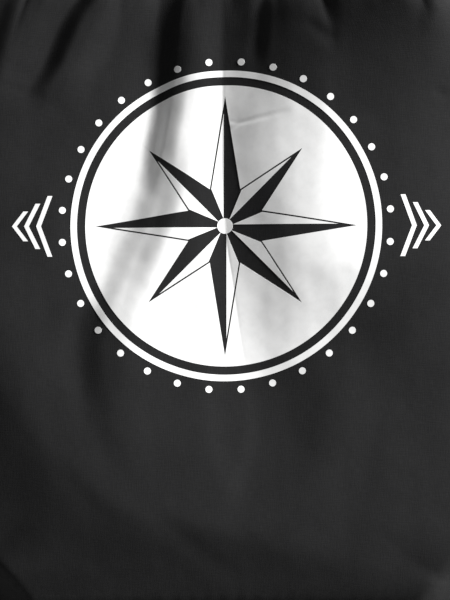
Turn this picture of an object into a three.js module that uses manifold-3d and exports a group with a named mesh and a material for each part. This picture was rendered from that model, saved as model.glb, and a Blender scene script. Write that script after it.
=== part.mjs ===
// A black cotton drawstring bag, lightly filled and drawn shut, lying on its back.
// Millimetres, +Z up, +Y towards the neck, the printed face up. The origin is under the middle of the bag.
import * as THREE from "three";
import { mergeVertices } from "three/addons/utils/BufferGeometryUtils.js";
import Module from "manifold-3d";

// Driving dimensions. The flat bag is 370 wide and 460 high; closed and filled it draws in to these.
const CLOSED_LENGTH = 424;
const CASING_DEPTH = 31.7;
const NECK_HALF_WIDTH = 66;
const NECK_MIDDLE_Z = 15;
const NECK_OFFSET_X = -5;
const TOUCH_GAP = 0.3;
const CLOTH_THICKNESS = 1;
const FINE_PLEATS = 13;
const FINE_PLEAT_DEPTH = 4.6;
const BACK_PLEAT_SHARE = 0.55;
const CORD_DIAMETER = 4.5;
const EYELET_HOLE_RADIUS = 4.2;
const EYELET_BARREL_RADIUS = 5;
const EYELET_FLANGE_RADIUS = 7.8;
const EYELET_FLANGE_THICKNESS = 0.9;
const PATCH_THICKNESS = 0.8;
const PATCH_LEG = 26;
const PATCH_INSET = 3.5;

// Distances called v run from the bottom corners (0) to the top edge of the casing (CLOSED_LENGTH).
const NECK_V = CLOSED_LENGTH - CASING_DEPTH - TOUCH_GAP;
const BOTTOM_SEAM_PULL = 6;

// The outline seen from above, and the height of the side seam over the floor, as [v, value] knots.
const HALF_WIDTH_KNOTS = [
  [0, 171], [45, 168.5], [125, 162], [230, 163], [300, 162], [345, 144], [378, 94], [NECK_V, NECK_HALF_WIDTH],
];
const SEAM_HEIGHT_KNOTS = [[0, 22], [60, 27.5], [200, 31], [345, 30], [NECK_V, NECK_MIDDLE_Z]];
// How far the front stands over the seam on its flat left part, before the ends round it off.
const FRONT_RISE_KNOTS = [
  [0, 25], [60, 27.5], [150, 28.5], [260, 28.5], [345, 28.5], [362, 25], [NECK_V, 10],
];

// Rounding of the sections: a higher power is flatter in the middle, and a higher root is steeper at the edge.
const FRONT_SIDES = { power: 10, root: 2.1 };
const RELIEF_SIDES = { power: 6, root: 1.2 };
const BACK_SIDES = { power: 3.4, root: 2 };
const BACK_LIFT_SIDES = { power: 4, root: 1.2 };
const CASING_SIDES = { power: 4, root: 2.2 };
const FRONT_END = { power: 2, root: 2.6 };
const BACK_END = { power: 2, root: 2.4 };
const BACK_FULLNESS = 1.16;

// The panels' grids. END_CROWDING is how much closer the columns stand at the sides than in the middle.
const END_CROWDING = 0.45;
const FRONT_COLUMNS = 66;
const FRONT_ROWS = 36;
const BACK_COLUMNS = 50;
const BACK_ROWS = 14;

// Lengths over which the two panels round off towards the bottom seam, and where the gathers start.
const FRONT_END_LENGTH = 18;
const RELIEF_END_LENGTH = 28.8;
const BACK_END_LENGTH = 60;
const GATHER_START_V = 322;
const SHOULDER_V = 345;
const SWELL_END_V = 338;
const NECK_NARROWING = 0.55;
const BACK_NECK_LIFT = 4.4;

// Corner ears, where both panels lie flat together around the eyelet.
const EAR_SEAM_Z = 2.35;
const EAR_FLAT_RADIUS = 42;
const EAR_BLEND_RADIUS = 70;
const EAR_POWER = 1.3;
const EAR_BLEND_POWER = 0.75;
const EAR_CELLS = 13;
const EYELET_INSET_X = 13;
const EYELET_INSET_V = 12.5;

// The folds that run down from the gathers. Each has its line as [v, x] knots, its section across that line
// as [distance to the right, height] knots, and its share of full height as [v, share] knots.
const LEFT_FOLD_PATH = [
  [110, -81], [140, -78.5], [162, -74.5], [183, -68.5], [202, -62], [220, -54],
  [240, -47.5], [261, -43.5], [286, -39], [322, -35.5], [340, -32], [NECK_V, -16],
];
const MIDDLE_FOLD_PATH = [
  [60, 30], [90, 22], [140, 11], [190, 3.5], [214, 0], [253, -1.6], [340, -1.6], [NECK_V, 0],
];
const FOLDS = [
  {
    path: [[281, -136], [340, -121], [NECK_V, -60]],
    section: [[-18, 0], [0, -4], [12, 1], [20, 0]],
    strength: [[275, 0], [305, 1]],
  },
  {
    path: [[286, -109], [307.6, -98.5], [329, -89], [340, -82], [NECK_V, -43]],
    section: [[-20, 0], [-2, -3], [0, -3.2], [13, 3.8], [18, 4], [36, 0]],
    strength: [[280, 0], [302, 1]],
  },
  {
    path: LEFT_FOLD_PATH,
    section: [[-60, 0], [-20, -0.9], [-6, -2.1], [-1, -1.8], [5, 0.3], [10.5, 5.2], [19, 9], [30, 10]],
    strength: [[225, 0], [270, 1]],
  },
  {
    path: LEFT_FOLD_PATH,
    section: [[-40, 0], [-6, -1.8], [0, -1], [14, 5.4], [28, 10.6], [45, 11]],
    strength: [[80, 0], [120, 0.12], [150, 0.4], [190, 0.9], [210, 1], [225, 1], [270, 0]],
  },
  {
    path: [[85, -61.5], [113, -71.5], [125, -74.5], [151, -79.5], [170, -76], [200, -64]],
    section: [[-12, 0], [-2, -0.6], [0, -0.4], [14, 3.3], [20, 3.6], [55, 0]],
    strength: [[70, 0], [90, 0.35], [122, 0.6], [145, 0.85], [165, 0.85], [200, 0]],
  },
  {
    path: [[57, 9], [102, -8], [160, -11], [214, -12.5], [260, -13.5], [340, -9], [NECK_V, -4]],
    section: [[-34, 0], [-4, 1.4], [12, 0]],
    strength: [[50, 0], [100, 1], [200, 0.6], [340, 0.3]],
  },
  {
    path: MIDDLE_FOLD_PATH,
    section: [[-16, 0], [-1, -1.2], [0, -1.2], [1.6, -0.6], [40, 15.2], [58, 18.2], [90, 18.4], [140, 17.5]],
    strength: [
      [40, 0], [110, 0.15], [150, 0.36], [180, 0.65], [200, 0.85], [250, 1], [320, 1], [350, 0.7], [NECK_V, 0],
    ],
  },
  {
    path: [[54, 9.7], [113, 23.2]],
    section: [[-14, 0], [-2, -1.4], [0, -1.4], [34, 2], [62, 0]],
    strength: [[50, 0], [72, 0.8], [100, 1], [125, 0.6], [160, 0]],
  },
  {
    path: [[300, 17], [340, 20], [NECK_V, 10]],
    section: [[-7, 0], [0, -1.3], [6, 0]],
    strength: [[295, 0], [318, 1]],
  },
  {
    path: [[310, 103], [340, 107], [NECK_V, 46]],
    section: [[-30, 0], [-12, -0.6], [-4, -1], [6, 3], [20, 0]],
    strength: [[315, 0], [336, 1]],
  },
];

// Broad soft rises of the front, each round a point [x, v].
const SWELLS = [
  { middle: [130, 372], reach: [64, 66], rise: 26 },
  { middle: [100, 349], reach: [42, 20], rise: 14.5 },
  { middle: [120, 328], reach: [60, 34], rise: 6 },
  { middle: [-90, 100], reach: [100, 75], rise: 13 },
  { middle: [34, 336], reach: [12, 8], rise: 2.2 },
  { middle: [-78, 353], reach: [70, 32], rise: 8.5 },
];

// Where the filling ends, low on the left: the cloth falls away beyond these two lines, from [x, v] to [x, v].
const SLACK_LINES = [[[-108, 113], [-78, 70]], [[-74.5, 70], [70, 30]]];
const SLACK_SLOPE = 0.24;
const SLACK_REACH = 50;
const SLACK_EDGE = 3;
const SLACK_CORNER = 8;

const MATERIALS = {
  cotton: new THREE.MeshStandardMaterial({ color: 0x262626, roughness: 0.93, metalness: 0 }),
  patch: new THREE.MeshStandardMaterial({ color: 0x1c1c1c, roughness: 0.7, metalness: 0 }),
  cord: new THREE.MeshStandardMaterial({ color: 0x202020, roughness: 0.85, metalness: 0 }),
  nickel: new THREE.MeshStandardMaterial({ color: 0xb9b9b6, roughness: 0.28, metalness: 1 }),
};

const wasm = await Module();
wasm.setup();

// Plain scalar helpers.
const clamp = (t, low, high) => Math.min(Math.max(t, low), high);
const smooth = (from, to, t) => THREE.MathUtils.smoothstep(t, from, to);
const toY = (v) => v - CLOSED_LENGTH / 2;

// The value at t of a smooth curve through [t, value] knots, with no overshoot.
function through(knots, t) {
  const last = knots.length - 1;
  if (t <= knots[0][0]) return knots[0][1];
  if (t >= knots[last][0]) return knots[last][1];
  const k = knots.findIndex((knot) => knot[0] > t) - 1;
  const slopeAt = (i) => {
    if (i === 0 || i === last) return 0;
    const before = (knots[i][1] - knots[i - 1][1]) / (knots[i][0] - knots[i - 1][0]);
    const after = (knots[i + 1][1] - knots[i][1]) / (knots[i + 1][0] - knots[i][0]);
    return before * after > 0 ? (2 * before * after) / (before + after) : 0;
  };
  const span = knots[k + 1][0] - knots[k][0];
  const s = (t - knots[k][0]) / span;
  const rise = knots[k + 1][1] - knots[k][1];
  const bend = s * (1 - s) * ((1 - s) * slopeAt(k) - s * slopeAt(k + 1)) * span;
  return knots[k][1] + rise * s * s * (3 - 2 * s) + bend;
}

// Side to side drift of the bag's middle, which carries the neck a little to the left.
const middleX = (v) => NECK_OFFSET_X * smooth(250, NECK_V, v);
const halfWidth = (v) => through(HALF_WIDTH_KNOTS, v);
const cornerX = halfWidth(0);

// 1 on the flat ear around a bottom corner, 0 where the bag is full.
function ear(x, v) {
  const [acrossX, alongV] = [Math.max(cornerX - Math.abs(x), 0), Math.max(v, 0)];
  const away = (acrossX ** EAR_POWER + alongV ** EAR_POWER) ** (1 / EAR_POWER);
  const share = clamp((away - EAR_FLAT_RADIUS) / (EAR_BLEND_RADIUS - EAR_FLAT_RADIUS), 0, 1);
  return 1 - smooth(0, 1, share ** EAR_BLEND_POWER);
}

function seamHeight(x, v) {
  return THREE.MathUtils.lerp(through(SEAM_HEIGHT_KNOTS, v), EAR_SEAM_Z, ear(x, v));
}

// The bottom seam is pulled in between the ears.
function seamPull(u, v) {
  return BOTTOM_SEAM_PULL * (1 - Math.abs(u) ** 3) * (1 - smooth(0, 70, v));
}

// The folds and swells of the front together, which die out where the neck is drawn in.
function relief(x, v) {
  const drawnIn = smooth(SHOULDER_V, NECK_V, v);
  let folds = 0;
  for (const { path, section, strength } of FOLDS) {
    const away = (x - through(path, v)) / (1 - NECK_NARROWING * drawnIn);
    folds += through(section, away) * through(strength, v);
  }
  let swells = 0;
  for (const { middle, reach, rise } of SWELLS) {
    swells += rise * Math.exp(-(((x - middle[0]) / reach[0]) ** 2) - ((v - middle[1]) / reach[1]) ** 2);
  }
  return folds * (1 - drawnIn) + swells * (1 - smooth(SWELL_END_V, NECK_V, v));
}

// The drop of the slack cloth, low on the left.
const softly = (t, radius) => radius * Math.log1p(Math.exp(clamp(t / radius, -30, 30)));

function slackDrop(x, v) {
  const [side, bottom] = SLACK_LINES.map(([[xa, va], [xb, vb]]) => {
    return ((x - xa) * (vb - va) - (v - va) * (xb - xa)) / Math.hypot(xb - xa, vb - va);
  });
  const beyond = side + softly(bottom - side, SLACK_CORNER);
  return SLACK_SLOPE * SLACK_REACH * Math.tanh(softly(beyond, SLACK_EDGE) / SLACK_REACH);
}

// The fine pleats of the gathered neck, even at the seam ends.
function finePleats(u, v) {
  const uneven = u + 0.028 * Math.sin(6.3 * u + 0.7) + 0.012 * Math.sin(17 * u);
  const fan = 1 - 0.35 * Math.cos(2.6 * u + 0.4);
  const grow = smooth(GATHER_START_V, NECK_V - 8, v);
  return FINE_PLEAT_DEPTH * fan * grow * Math.cos(uneven * FINE_PLEATS * Math.PI) * (1 - u ** 8);
}

// A rounded share of full height at u, from 0 at the seam (1) to 1 in the middle (0).
const across = (u, { power, root }) => (1 - Math.min(Math.abs(u), 1) ** power) ** (1 / root);

function frontZ(u, v) {
  const x = middleX(v) + u * halfWidth(v);
  const end = across(1 - clamp(v / FRONT_END_LENGTH, 0, 1), FRONT_END);
  const full = (through(FRONT_RISE_KNOTS, v) - slackDrop(x, v)) * across(u, FRONT_SIDES) * end;
  const edge = across(u, RELIEF_SIDES) * smooth(0, RELIEF_END_LENGTH, v);
  const shaped = (full + (relief(x, v) + finePleats(u, v)) * edge) * (1 - ear(x, v));
  return seamHeight(x, v) + CLOTH_THICKNESS + TOUCH_GAP / 2 + Math.max(shaped, 0);
}

function backZ(u, v) {
  const x = middleX(v) + u * halfWidth(v);
  const seam = seamHeight(x, v) - TOUCH_GAP / 2 - CLOTH_THICKNESS;
  const end = across(1 - clamp(v / BACK_END_LENGTH, 0, 1), BACK_END);
  const down = seam * clamp(across(u, BACK_SIDES) * end * BACK_FULLNESS, 0, 1) * (1 - ear(x, v));
  const lift = BACK_NECK_LIFT * smooth(SHOULDER_V, NECK_V, v);
  const pleats = BACK_PLEAT_SHARE * finePleats(-u, v);
  return Math.max(seam - down + (lift + pleats) * across(u, BACK_LIFT_SIDES), 0);
}

// A closed slab between two height functions of (u, v). `place` gives x and y for (u, v).
function slab(columns, rows, place, topZ, underZ) {
  const positions = [];
  const index = [];
  const stride = columns.length;
  for (const zAt of [topZ, underZ])
    for (const v of rows)
      for (const u of columns) {
        const [x, y] = place(u, v);
        positions.push(x, y, zAt(u, v));
      }
  const sheet = stride * rows.length;
  const quad = (a, b, c, d) => index.push(a, b, c, a, c, d);
  for (let j = 0; j + 1 < rows.length; j++)
    for (let i = 0; i + 1 < stride; i++) {
      const a = j * stride + i;
      quad(a, a + 1, a + 1 + stride, a + stride);
      quad(sheet + a, sheet + a + stride, sheet + a + 1 + stride, sheet + a + 1);
    }
  const wall = (a, b) => quad(a, b, sheet + b, sheet + a);
  for (let i = 0; i + 1 < stride; i++) {
    wall(i + 1, i);
    wall((rows.length - 1) * stride + i, (rows.length - 1) * stride + i + 1);
  }
  for (let j = 0; j + 1 < rows.length; j++) {
    wall(j * stride, (j + 1) * stride);
    wall((j + 2) * stride - 1, (j + 1) * stride - 1);
  }
  const geometry = new THREE.BufferGeometry();
  geometry.setAttribute("position", new THREE.Float32BufferAttribute(positions, 3));
  geometry.setIndex(index);
  return geometry;
}

// `count` + 1 values from `from` to `to`, crowded towards `to` when `crowd` is over 1.
function spread(from, to, count, crowd = 1) {
  return Array.from({ length: count + 1 }, (_, i) => from + (to - from) * (1 - (1 - i / count) ** crowd));
}

// `count` + 1 values from -1 to 1, crowded towards both ends.
function crowded(count) {
  const even = 1 - END_CROWDING;
  return spread(-1, 1, count).map((t) => even * t + END_CROWDING * Math.sin((t * Math.PI) / 2));
}

// Manifold conversions, for cuts only.
function toSolid(geometry) {
  const bare = geometry.clone();
  bare.deleteAttribute("normal");
  bare.deleteAttribute("uv");
  const merged = mergeVertices(bare, 1e-4);
  return new wasm.Manifold(
    new wasm.Mesh({
      numProp: 3,
      vertProperties: new Float32Array(merged.attributes.position.array),
      triVerts: new Uint32Array(merged.index.array),
    }),
  );
}

function toGeometry(solid) {
  const mesh = solid.getMesh();
  const geometry = new THREE.BufferGeometry();
  geometry.setAttribute("position", new THREE.Float32BufferAttribute(mesh.vertProperties, 3));
  geometry.setIndex(new THREE.Uint32BufferAttribute(mesh.triVerts, 1));
  return geometry;
}

function upright(radius, height, x, v, z) {
  const cylinder = new THREE.CylinderGeometry(radius, radius, height, 24);
  return cylinder.rotateX(Math.PI / 2).translate(x, toY(v), z);
}

// Where the eyelet of one side sits: side is -1 for the left and 1 for the right.
const eyeletX = (side) => side * (cornerX - EYELET_INSET_X);

function named(name, geometry, material) {
  const mesh = new THREE.Mesh(geometry, material);
  mesh.name = name;
  return mesh;
}

const panelPlace = (u, v) => [middleX(v) + u * halfWidth(v), toY(v) + seamPull(u, v)];

// All the space over the seam surface (side 1) or under it (side -1), half a gap away from it.
function seamSpace(side) {
  const margin = 20;
  const far = side > 0 ? 10 * margin : -2 * margin;
  const place = (x, v) => [x, toY(v)];
  const near = (x, v) => seamHeight(x, v) + (side * TOUCH_GAP) / 2;
  const fine = spread(cornerX, cornerX - EAR_BLEND_RADIUS, EAR_CELLS);
  const outer = cornerX + margin;
  const columns = [-outer, ...fine.map((x) => -x), 0, ...fine.reverse(), outer];
  const rows = [-margin, ...spread(0, EAR_BLEND_RADIUS, EAR_CELLS), ...spread(150, NECK_V + margin, 8)];
  const geometry = side > 0
    ? slab(columns, rows, place, () => far, near)
    : slab(columns, rows, place, near, () => far);
  return toSolid(geometry);
}

// A panel is cut out of its full moulding by the seam surface, and pierced for the two eyelets.
function panel(name, moulding, side) {
  let solid = toSolid(moulding).intersect(seamSpace(side));
  for (const end of [-1, 1]) {
    const hole = upright(EYELET_BARREL_RADIUS + TOUCH_GAP, 40, eyeletX(end), EYELET_INSET_V, 5);
    solid = solid.subtract(toSolid(hole));
  }
  return named(name, toGeometry(solid), MATERIALS.cotton);
}

function frontPanel() {
  const rows = [...spread(0, FRONT_END_LENGTH, 5), ...spread(25, NECK_V, FRONT_ROWS, 1.2)];
  const moulding = slab(crowded(FRONT_COLUMNS), rows, panelPlace, frontZ, () => -CLOSED_LENGTH);
  return panel("front_panel", moulding, 1);
}

function backPanel() {
  const rows = [...spread(0, BACK_END_LENGTH, EAR_CELLS), ...spread(70, NECK_V, BACK_ROWS, 1.5)];
  const moulding = slab(crowded(BACK_COLUMNS), rows, panelPlace, () => CLOSED_LENGTH, backZ);
  return panel("back_panel", moulding, -1);
}

// The casing: a tunnel of doubled cloth, pinched at the cord and flaring at the top edge. Its knots are
// [share of the casing's depth, value].
const CORD_LEVEL = 0.45;
const CASING_WIDTH_KNOTS = [[0, NECK_HALF_WIDTH], [CORD_LEVEL, 61], [1, 74]];
const CASING_RISE_KNOTS = [[0, 10], [CORD_LEVEL, 7.5], [1, 10.5]];
const SCALLOP_DEPTH = 1.6;

function casingX(u, share) {
  return NECK_OFFSET_X + u * through(CASING_WIDTH_KNOTS, share);
}

function casingZ(u, share, side) {
  const pleat = finePleats(side * u, CLOSED_LENGTH) * THREE.MathUtils.lerp(0.75, 1, share);
  const rise = through(CASING_RISE_KNOTS, share) * across(u, CASING_SIDES);
  const ripple = Math.max(pleat, -rise) * across(u, RELIEF_SIDES) * (side < 0 ? BACK_PLEAT_SHARE : 1);
  return NECK_MIDDLE_Z + side * (TOUCH_GAP + CLOTH_THICKNESS + rise + ripple);
}

function casing(side) {
  const rows = spread(0, 1, 5);
  const columns = spread(-1, 1, 54);
  const scallop = (u, share) => share * SCALLOP_DEPTH * Math.cos(u * FINE_PLEATS * Math.PI);
  const place = (u, share) => {
    const y = toY(NECK_V + TOUCH_GAP + share * (CASING_DEPTH - SCALLOP_DEPTH)) + scallop(u, share);
    return [casingX(u, share), y];
  };
  const outside = (u, share) => casingZ(u, share, side);
  const inside = () => NECK_MIDDLE_Z + (side * TOUCH_GAP) / 2;
  const geometry = side > 0
    ? slab(columns, rows, place, outside, inside)
    : slab(columns, rows, place, inside, outside);
  return named(side > 0 ? "casing_front" : "casing_back", geometry, MATERIALS.cotton);
}

// The drawstring where it shows, crossing from the front casing to the back one at a side of the neck.
function drawstring(side) {
  const reach = CORD_DIAMETER / 2 / CASING_DEPTH + 0.02;
  const widths = [CORD_LEVEL - reach, CORD_LEVEL + reach].map((share) => through(CASING_WIDTH_KNOTS, share));
  const start = Math.max(...widths) + TOUCH_GAP;
  const bend = CORD_DIAMETER * 0.86;
  const y = toY(NECK_V + TOUCH_GAP + CORD_LEVEL * CASING_DEPTH);
  const turn = spread(Math.PI / 2, -Math.PI / 2, 12).map(
    (angle) => new THREE.Vector3(
      NECK_OFFSET_X + side * (start + CORD_DIAMETER + bend * 1.25 * Math.cos(angle)),
      y,
      NECK_MIDDLE_Z + bend * Math.sin(angle),
    ),
  );
  const [top, under] = [1, -1].map(
    (up) => new THREE.Vector3(NECK_OFFSET_X + side * start, y, NECK_MIDDLE_Z + up * bend),
  );
  const path = new THREE.CatmullRomCurve3([top, ...turn, under]);
  const section = new THREE.Shape().absarc(0, 0, CORD_DIAMETER / 2, 0, Math.PI * 2);
  const geometry = new THREE.ExtrudeGeometry(section, { steps: 16, curveSegments: 5, extrudePath: path });
  return named(side < 0 ? "drawstring_left" : "drawstring_right", geometry, MATERIALS.cord);
}

// The reinforcing triangle sewn over each bottom corner, with a hole for the eyelet.
function cornerPatch(side) {
  const outline = new THREE.Shape()
    .moveTo(0, 0)
    .lineTo(-side * PATCH_LEG, 0)
    .lineTo(-side * PATCH_LEG, 3)
    .lineTo(-side * 3, PATCH_LEG)
    .lineTo(0, PATCH_LEG);
  const z = EAR_SEAM_Z + CLOTH_THICKNESS + TOUCH_GAP * 1.5;
  const plate = new THREE.ExtrudeGeometry(outline, { depth: PATCH_THICKNESS, bevelEnabled: false });
  plate.translate(side * (cornerX - PATCH_INSET), toY(PATCH_INSET + 1), z);
  const hole = upright(EYELET_BARREL_RADIUS + TOUCH_GAP, 20, eyeletX(side), EYELET_INSET_V, z);
  const geometry = toGeometry(toSolid(plate).subtract(toSolid(hole)));
  return named(side < 0 ? "corner_patch_left" : "corner_patch_right", geometry, MATERIALS.patch);
}

// A spool-shaped metal eyelet that clamps both panels and the patch.
function eyelet(side) {
  const top = EAR_SEAM_Z + CLOTH_THICKNESS + TOUCH_GAP * 2.5 + PATCH_THICKNESS;
  const under = EYELET_FLANGE_THICKNESS;
  const peak = top + EYELET_FLANGE_THICKNESS;
  const middle = (EYELET_HOLE_RADIUS + EYELET_FLANGE_RADIUS) / 2;
  const profile = [
    [EYELET_HOLE_RADIUS, 0], [EYELET_FLANGE_RADIUS, 0], [EYELET_FLANGE_RADIUS, under],
    [EYELET_BARREL_RADIUS, under], [EYELET_BARREL_RADIUS, top], [EYELET_FLANGE_RADIUS, top],
    [middle + 1.4, peak], [middle - 1.4, peak], [EYELET_HOLE_RADIUS, top + 0.3], [EYELET_HOLE_RADIUS, 0],
  ].map(([radius, height]) => new THREE.Vector2(radius, height));
  const geometry = new THREE.LatheGeometry(profile, 20).rotateX(Math.PI / 2);
  geometry.translate(eyeletX(side), toY(EYELET_INSET_V), 0);
  return named(side < 0 ? "eyelet_left" : "eyelet_right", geometry, MATERIALS.nickel);
}

const bag = new THREE.Group();
bag.add(frontPanel(), backPanel(), casing(1), casing(-1));
for (const side of [-1, 1]) bag.add(drawstring(side), cornerPatch(side), eyelet(side));

export default bag;
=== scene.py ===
"""A black cotton drawstring bag with a white printed medallion, drawn shut and lying on its back.

Metres, +Z up, +Y towards the neck. Distances called v run from the bottom corners (0) to the top edge of
the casing (CLOSED_LENGTH), and u runs from the left side seam (-1) to the right one (1).
"""

import logging
import math
from collections.abc import Sequence
from dataclasses import dataclass
from enum import Enum

import bmesh
import bpy
import numpy as np
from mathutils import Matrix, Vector


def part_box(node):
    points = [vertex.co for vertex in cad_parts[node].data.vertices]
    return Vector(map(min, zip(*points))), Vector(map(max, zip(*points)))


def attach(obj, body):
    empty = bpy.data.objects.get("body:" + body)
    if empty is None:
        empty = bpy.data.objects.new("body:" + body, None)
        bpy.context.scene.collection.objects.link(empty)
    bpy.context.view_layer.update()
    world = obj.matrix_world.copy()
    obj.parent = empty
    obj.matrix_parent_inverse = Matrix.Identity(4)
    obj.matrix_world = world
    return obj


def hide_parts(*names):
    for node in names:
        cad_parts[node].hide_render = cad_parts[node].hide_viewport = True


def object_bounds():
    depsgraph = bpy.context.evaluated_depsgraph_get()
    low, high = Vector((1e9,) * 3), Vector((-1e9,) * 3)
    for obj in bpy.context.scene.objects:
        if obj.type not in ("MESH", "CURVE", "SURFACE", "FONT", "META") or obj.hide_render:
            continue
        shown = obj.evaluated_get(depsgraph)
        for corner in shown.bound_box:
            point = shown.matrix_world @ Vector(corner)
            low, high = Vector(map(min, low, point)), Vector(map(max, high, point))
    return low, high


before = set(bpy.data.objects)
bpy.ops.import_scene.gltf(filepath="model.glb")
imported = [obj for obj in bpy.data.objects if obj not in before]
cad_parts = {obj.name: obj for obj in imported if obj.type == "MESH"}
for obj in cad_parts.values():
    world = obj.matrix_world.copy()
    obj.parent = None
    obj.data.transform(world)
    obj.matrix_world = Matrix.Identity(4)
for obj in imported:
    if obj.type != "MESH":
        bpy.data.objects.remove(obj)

Array = np.ndarray
Knots = tuple[tuple[float, float], ...]

SEED = 20
BODY = "root"
CAD_BOX = [list(corner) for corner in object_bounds()]
CORNER_X = CAD_BOX[1][0]
CLOSED_LENGTH = CAD_BOX[1][1] - CAD_BOX[0][1]
NECK_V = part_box("front_panel")[1].y - CAD_BOX[0][1]
NECK_MIDDLE_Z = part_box("casing_front")[0].z
FLAT_WIDTH = 0.37
CLOTH = 0.0006
SEAM_HALF = 0.0007
SCALLOP = 0.0016
HEM_LENGTH = 0.014
PLEATS = 13
STITCH_PITCH = 0.0031
STITCH_LIFT = 0.0001
CUT_ANGLE = math.radians(50)
CORD_V = 0.4063
SHOULDER_V = 0.345
SWELL_END_V = 0.338
NECK_NARROWING = 0.55

HALF_WIDTH_KNOTS: Knots = (
    (0.0, CORNER_X), (0.045, 0.1685), (0.125, 0.162), (0.23, 0.163), (0.3, 0.162), (SHOULDER_V, 0.144),
    (0.378, 0.094), (NECK_V, 0.066), (CORD_V, 0.061), (CLOSED_LENGTH, 0.074),
)
SEAM_HEIGHT_KNOTS: Knots = (
    (0.0, 0.022), (0.06, 0.0275), (0.2, 0.031), (SHOULDER_V, 0.03), (NECK_V, NECK_MIDDLE_Z),
)
FRONT_RISE_KNOTS: Knots = (
    (0.0, 0.025), (0.06, 0.0275), (0.15, 0.0285), (0.26, 0.0285), (SHOULDER_V, 0.0285), (0.362, 0.025),
    (NECK_V, 0.01), (CORD_V, 0.0075), (CLOSED_LENGTH, 0.0105),
)
SLACK_LINES = (((-0.108, 0.113), (-0.078, 0.07)), ((-0.0745, 0.07), (0.07, 0.03)))

log = logging.getLogger("drawstring_bag")


def smooth(start: float, end: float, t: Array) -> Array:
    """A smooth step from 0 at start to 1 at end."""
    s = np.clip((np.asarray(t, float) - start) / (end - start), 0.0, 1.0)
    return s * s * (3.0 - 2.0 * s)


def through(knots: Knots, t: Array) -> Array:
    """A smooth curve through knots that doesn't overshoot.

    Args:
        knots: Pairs of place and value, with rising places.
        t: Where the curve is read.

    Returns:
        The curve's values at t.
    """
    x, y = np.array(knots, float).T
    gap, slope = np.diff(x), np.diff(y) / np.diff(x)
    bend = np.zeros_like(x)
    same = slope[1:] * slope[:-1] > 0
    bend[1:-1][same] = (2 * slope[1:] * slope[:-1])[same] / (slope[1:] + slope[:-1])[same]
    t = np.clip(np.asarray(t, float), x[0], x[-1])
    k = np.clip(np.searchsorted(x, t, side="right") - 1, 0, len(x) - 2)
    s = (t - x[k]) / gap[k]
    rise = (y[k + 1] - y[k]) * s * s * (3 - 2 * s)
    return y[k] + rise + s * (1 - s) * ((1 - s) * bend[k] - s * bend[k + 1]) * gap[k]


def across(u: Array, power: float, root: float) -> Array:
    """A rounded share of full height at u, from 0 at a side seam to 1 in the middle."""
    return (1 - np.minimum(np.abs(u), 1.0) ** power) ** (1 / root)


@dataclass(frozen=True)
class Fold:
    """One soft fold or step of the front, read along lines of equal v.

    Attributes:
        path: Its line from the bottom upwards, as (v, x).
        section: Its height at distances from that line, as (distance to the right, height).
        strength: Its share of full height along v, as (v, share).
    """

    path: Knots
    section: Knots
    strength: Knots

    def height(self, x: Array, v: Array) -> Array:
        """The fold's own height at x and v.

        Args:
            x: Places across, from the middle.
            v: Places along, from the bottom seam.

        Returns:
            The height at each place.
        """
        drawn_in = smooth(SHOULDER_V, NECK_V, v)
        away = (x - through(self.path, v)) / (1 - NECK_NARROWING * drawn_in)
        return through(self.section, away) * through(self.strength, v) * (1 - drawn_in)


@dataclass(frozen=True)
class Crease:
    """A short thin crease of the front.

    Attributes:
        start: Its first end, as x and v.
        end: Its other end.
        rise: Its height, less than 0 for a groove.
        width: Half its width.
    """

    start: tuple[float, float]
    end: tuple[float, float]
    rise: float
    width: float

    def height(self, x: Array, v: Array) -> Array:
        """The crease's own height at x and v.

        Args:
            x: Places across, from the middle.
            v: Places along, from the bottom seam.

        Returns:
            The height at each place.
        """
        (xa, va), (xb, vb) = self.start, self.end
        dx, dv = xb - xa, vb - va
        length = math.hypot(dx, dv)
        along = ((x - xa) * dx + (v - va) * dv) / length**2
        aside = ((x - xa) * dv - (v - va) * dx) / length
        taper = np.clip(4 * along * (1 - along), 0, 1)
        return self.rise * taper * np.exp(-((aside / self.width) ** 2))


LEFT_FOLD_PATH: Knots = (
    (0.11, -0.081), (0.14, -0.0785), (0.162, -0.0745), (0.183, -0.0685), (0.202, -0.062), (0.22, -0.054),
    (0.24, -0.0475), (0.261, -0.0435), (0.286, -0.039), (0.322, -0.0355), (0.34, -0.032), (NECK_V, -0.016),
)
MIDDLE_FOLD_PATH: Knots = (
    (0.06, 0.03), (0.09, 0.022), (0.14, 0.011), (0.19, 0.0035), (0.214, 0.0), (0.253, -0.0016),
    (0.34, -0.0016), (NECK_V, 0.0),
)

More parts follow.
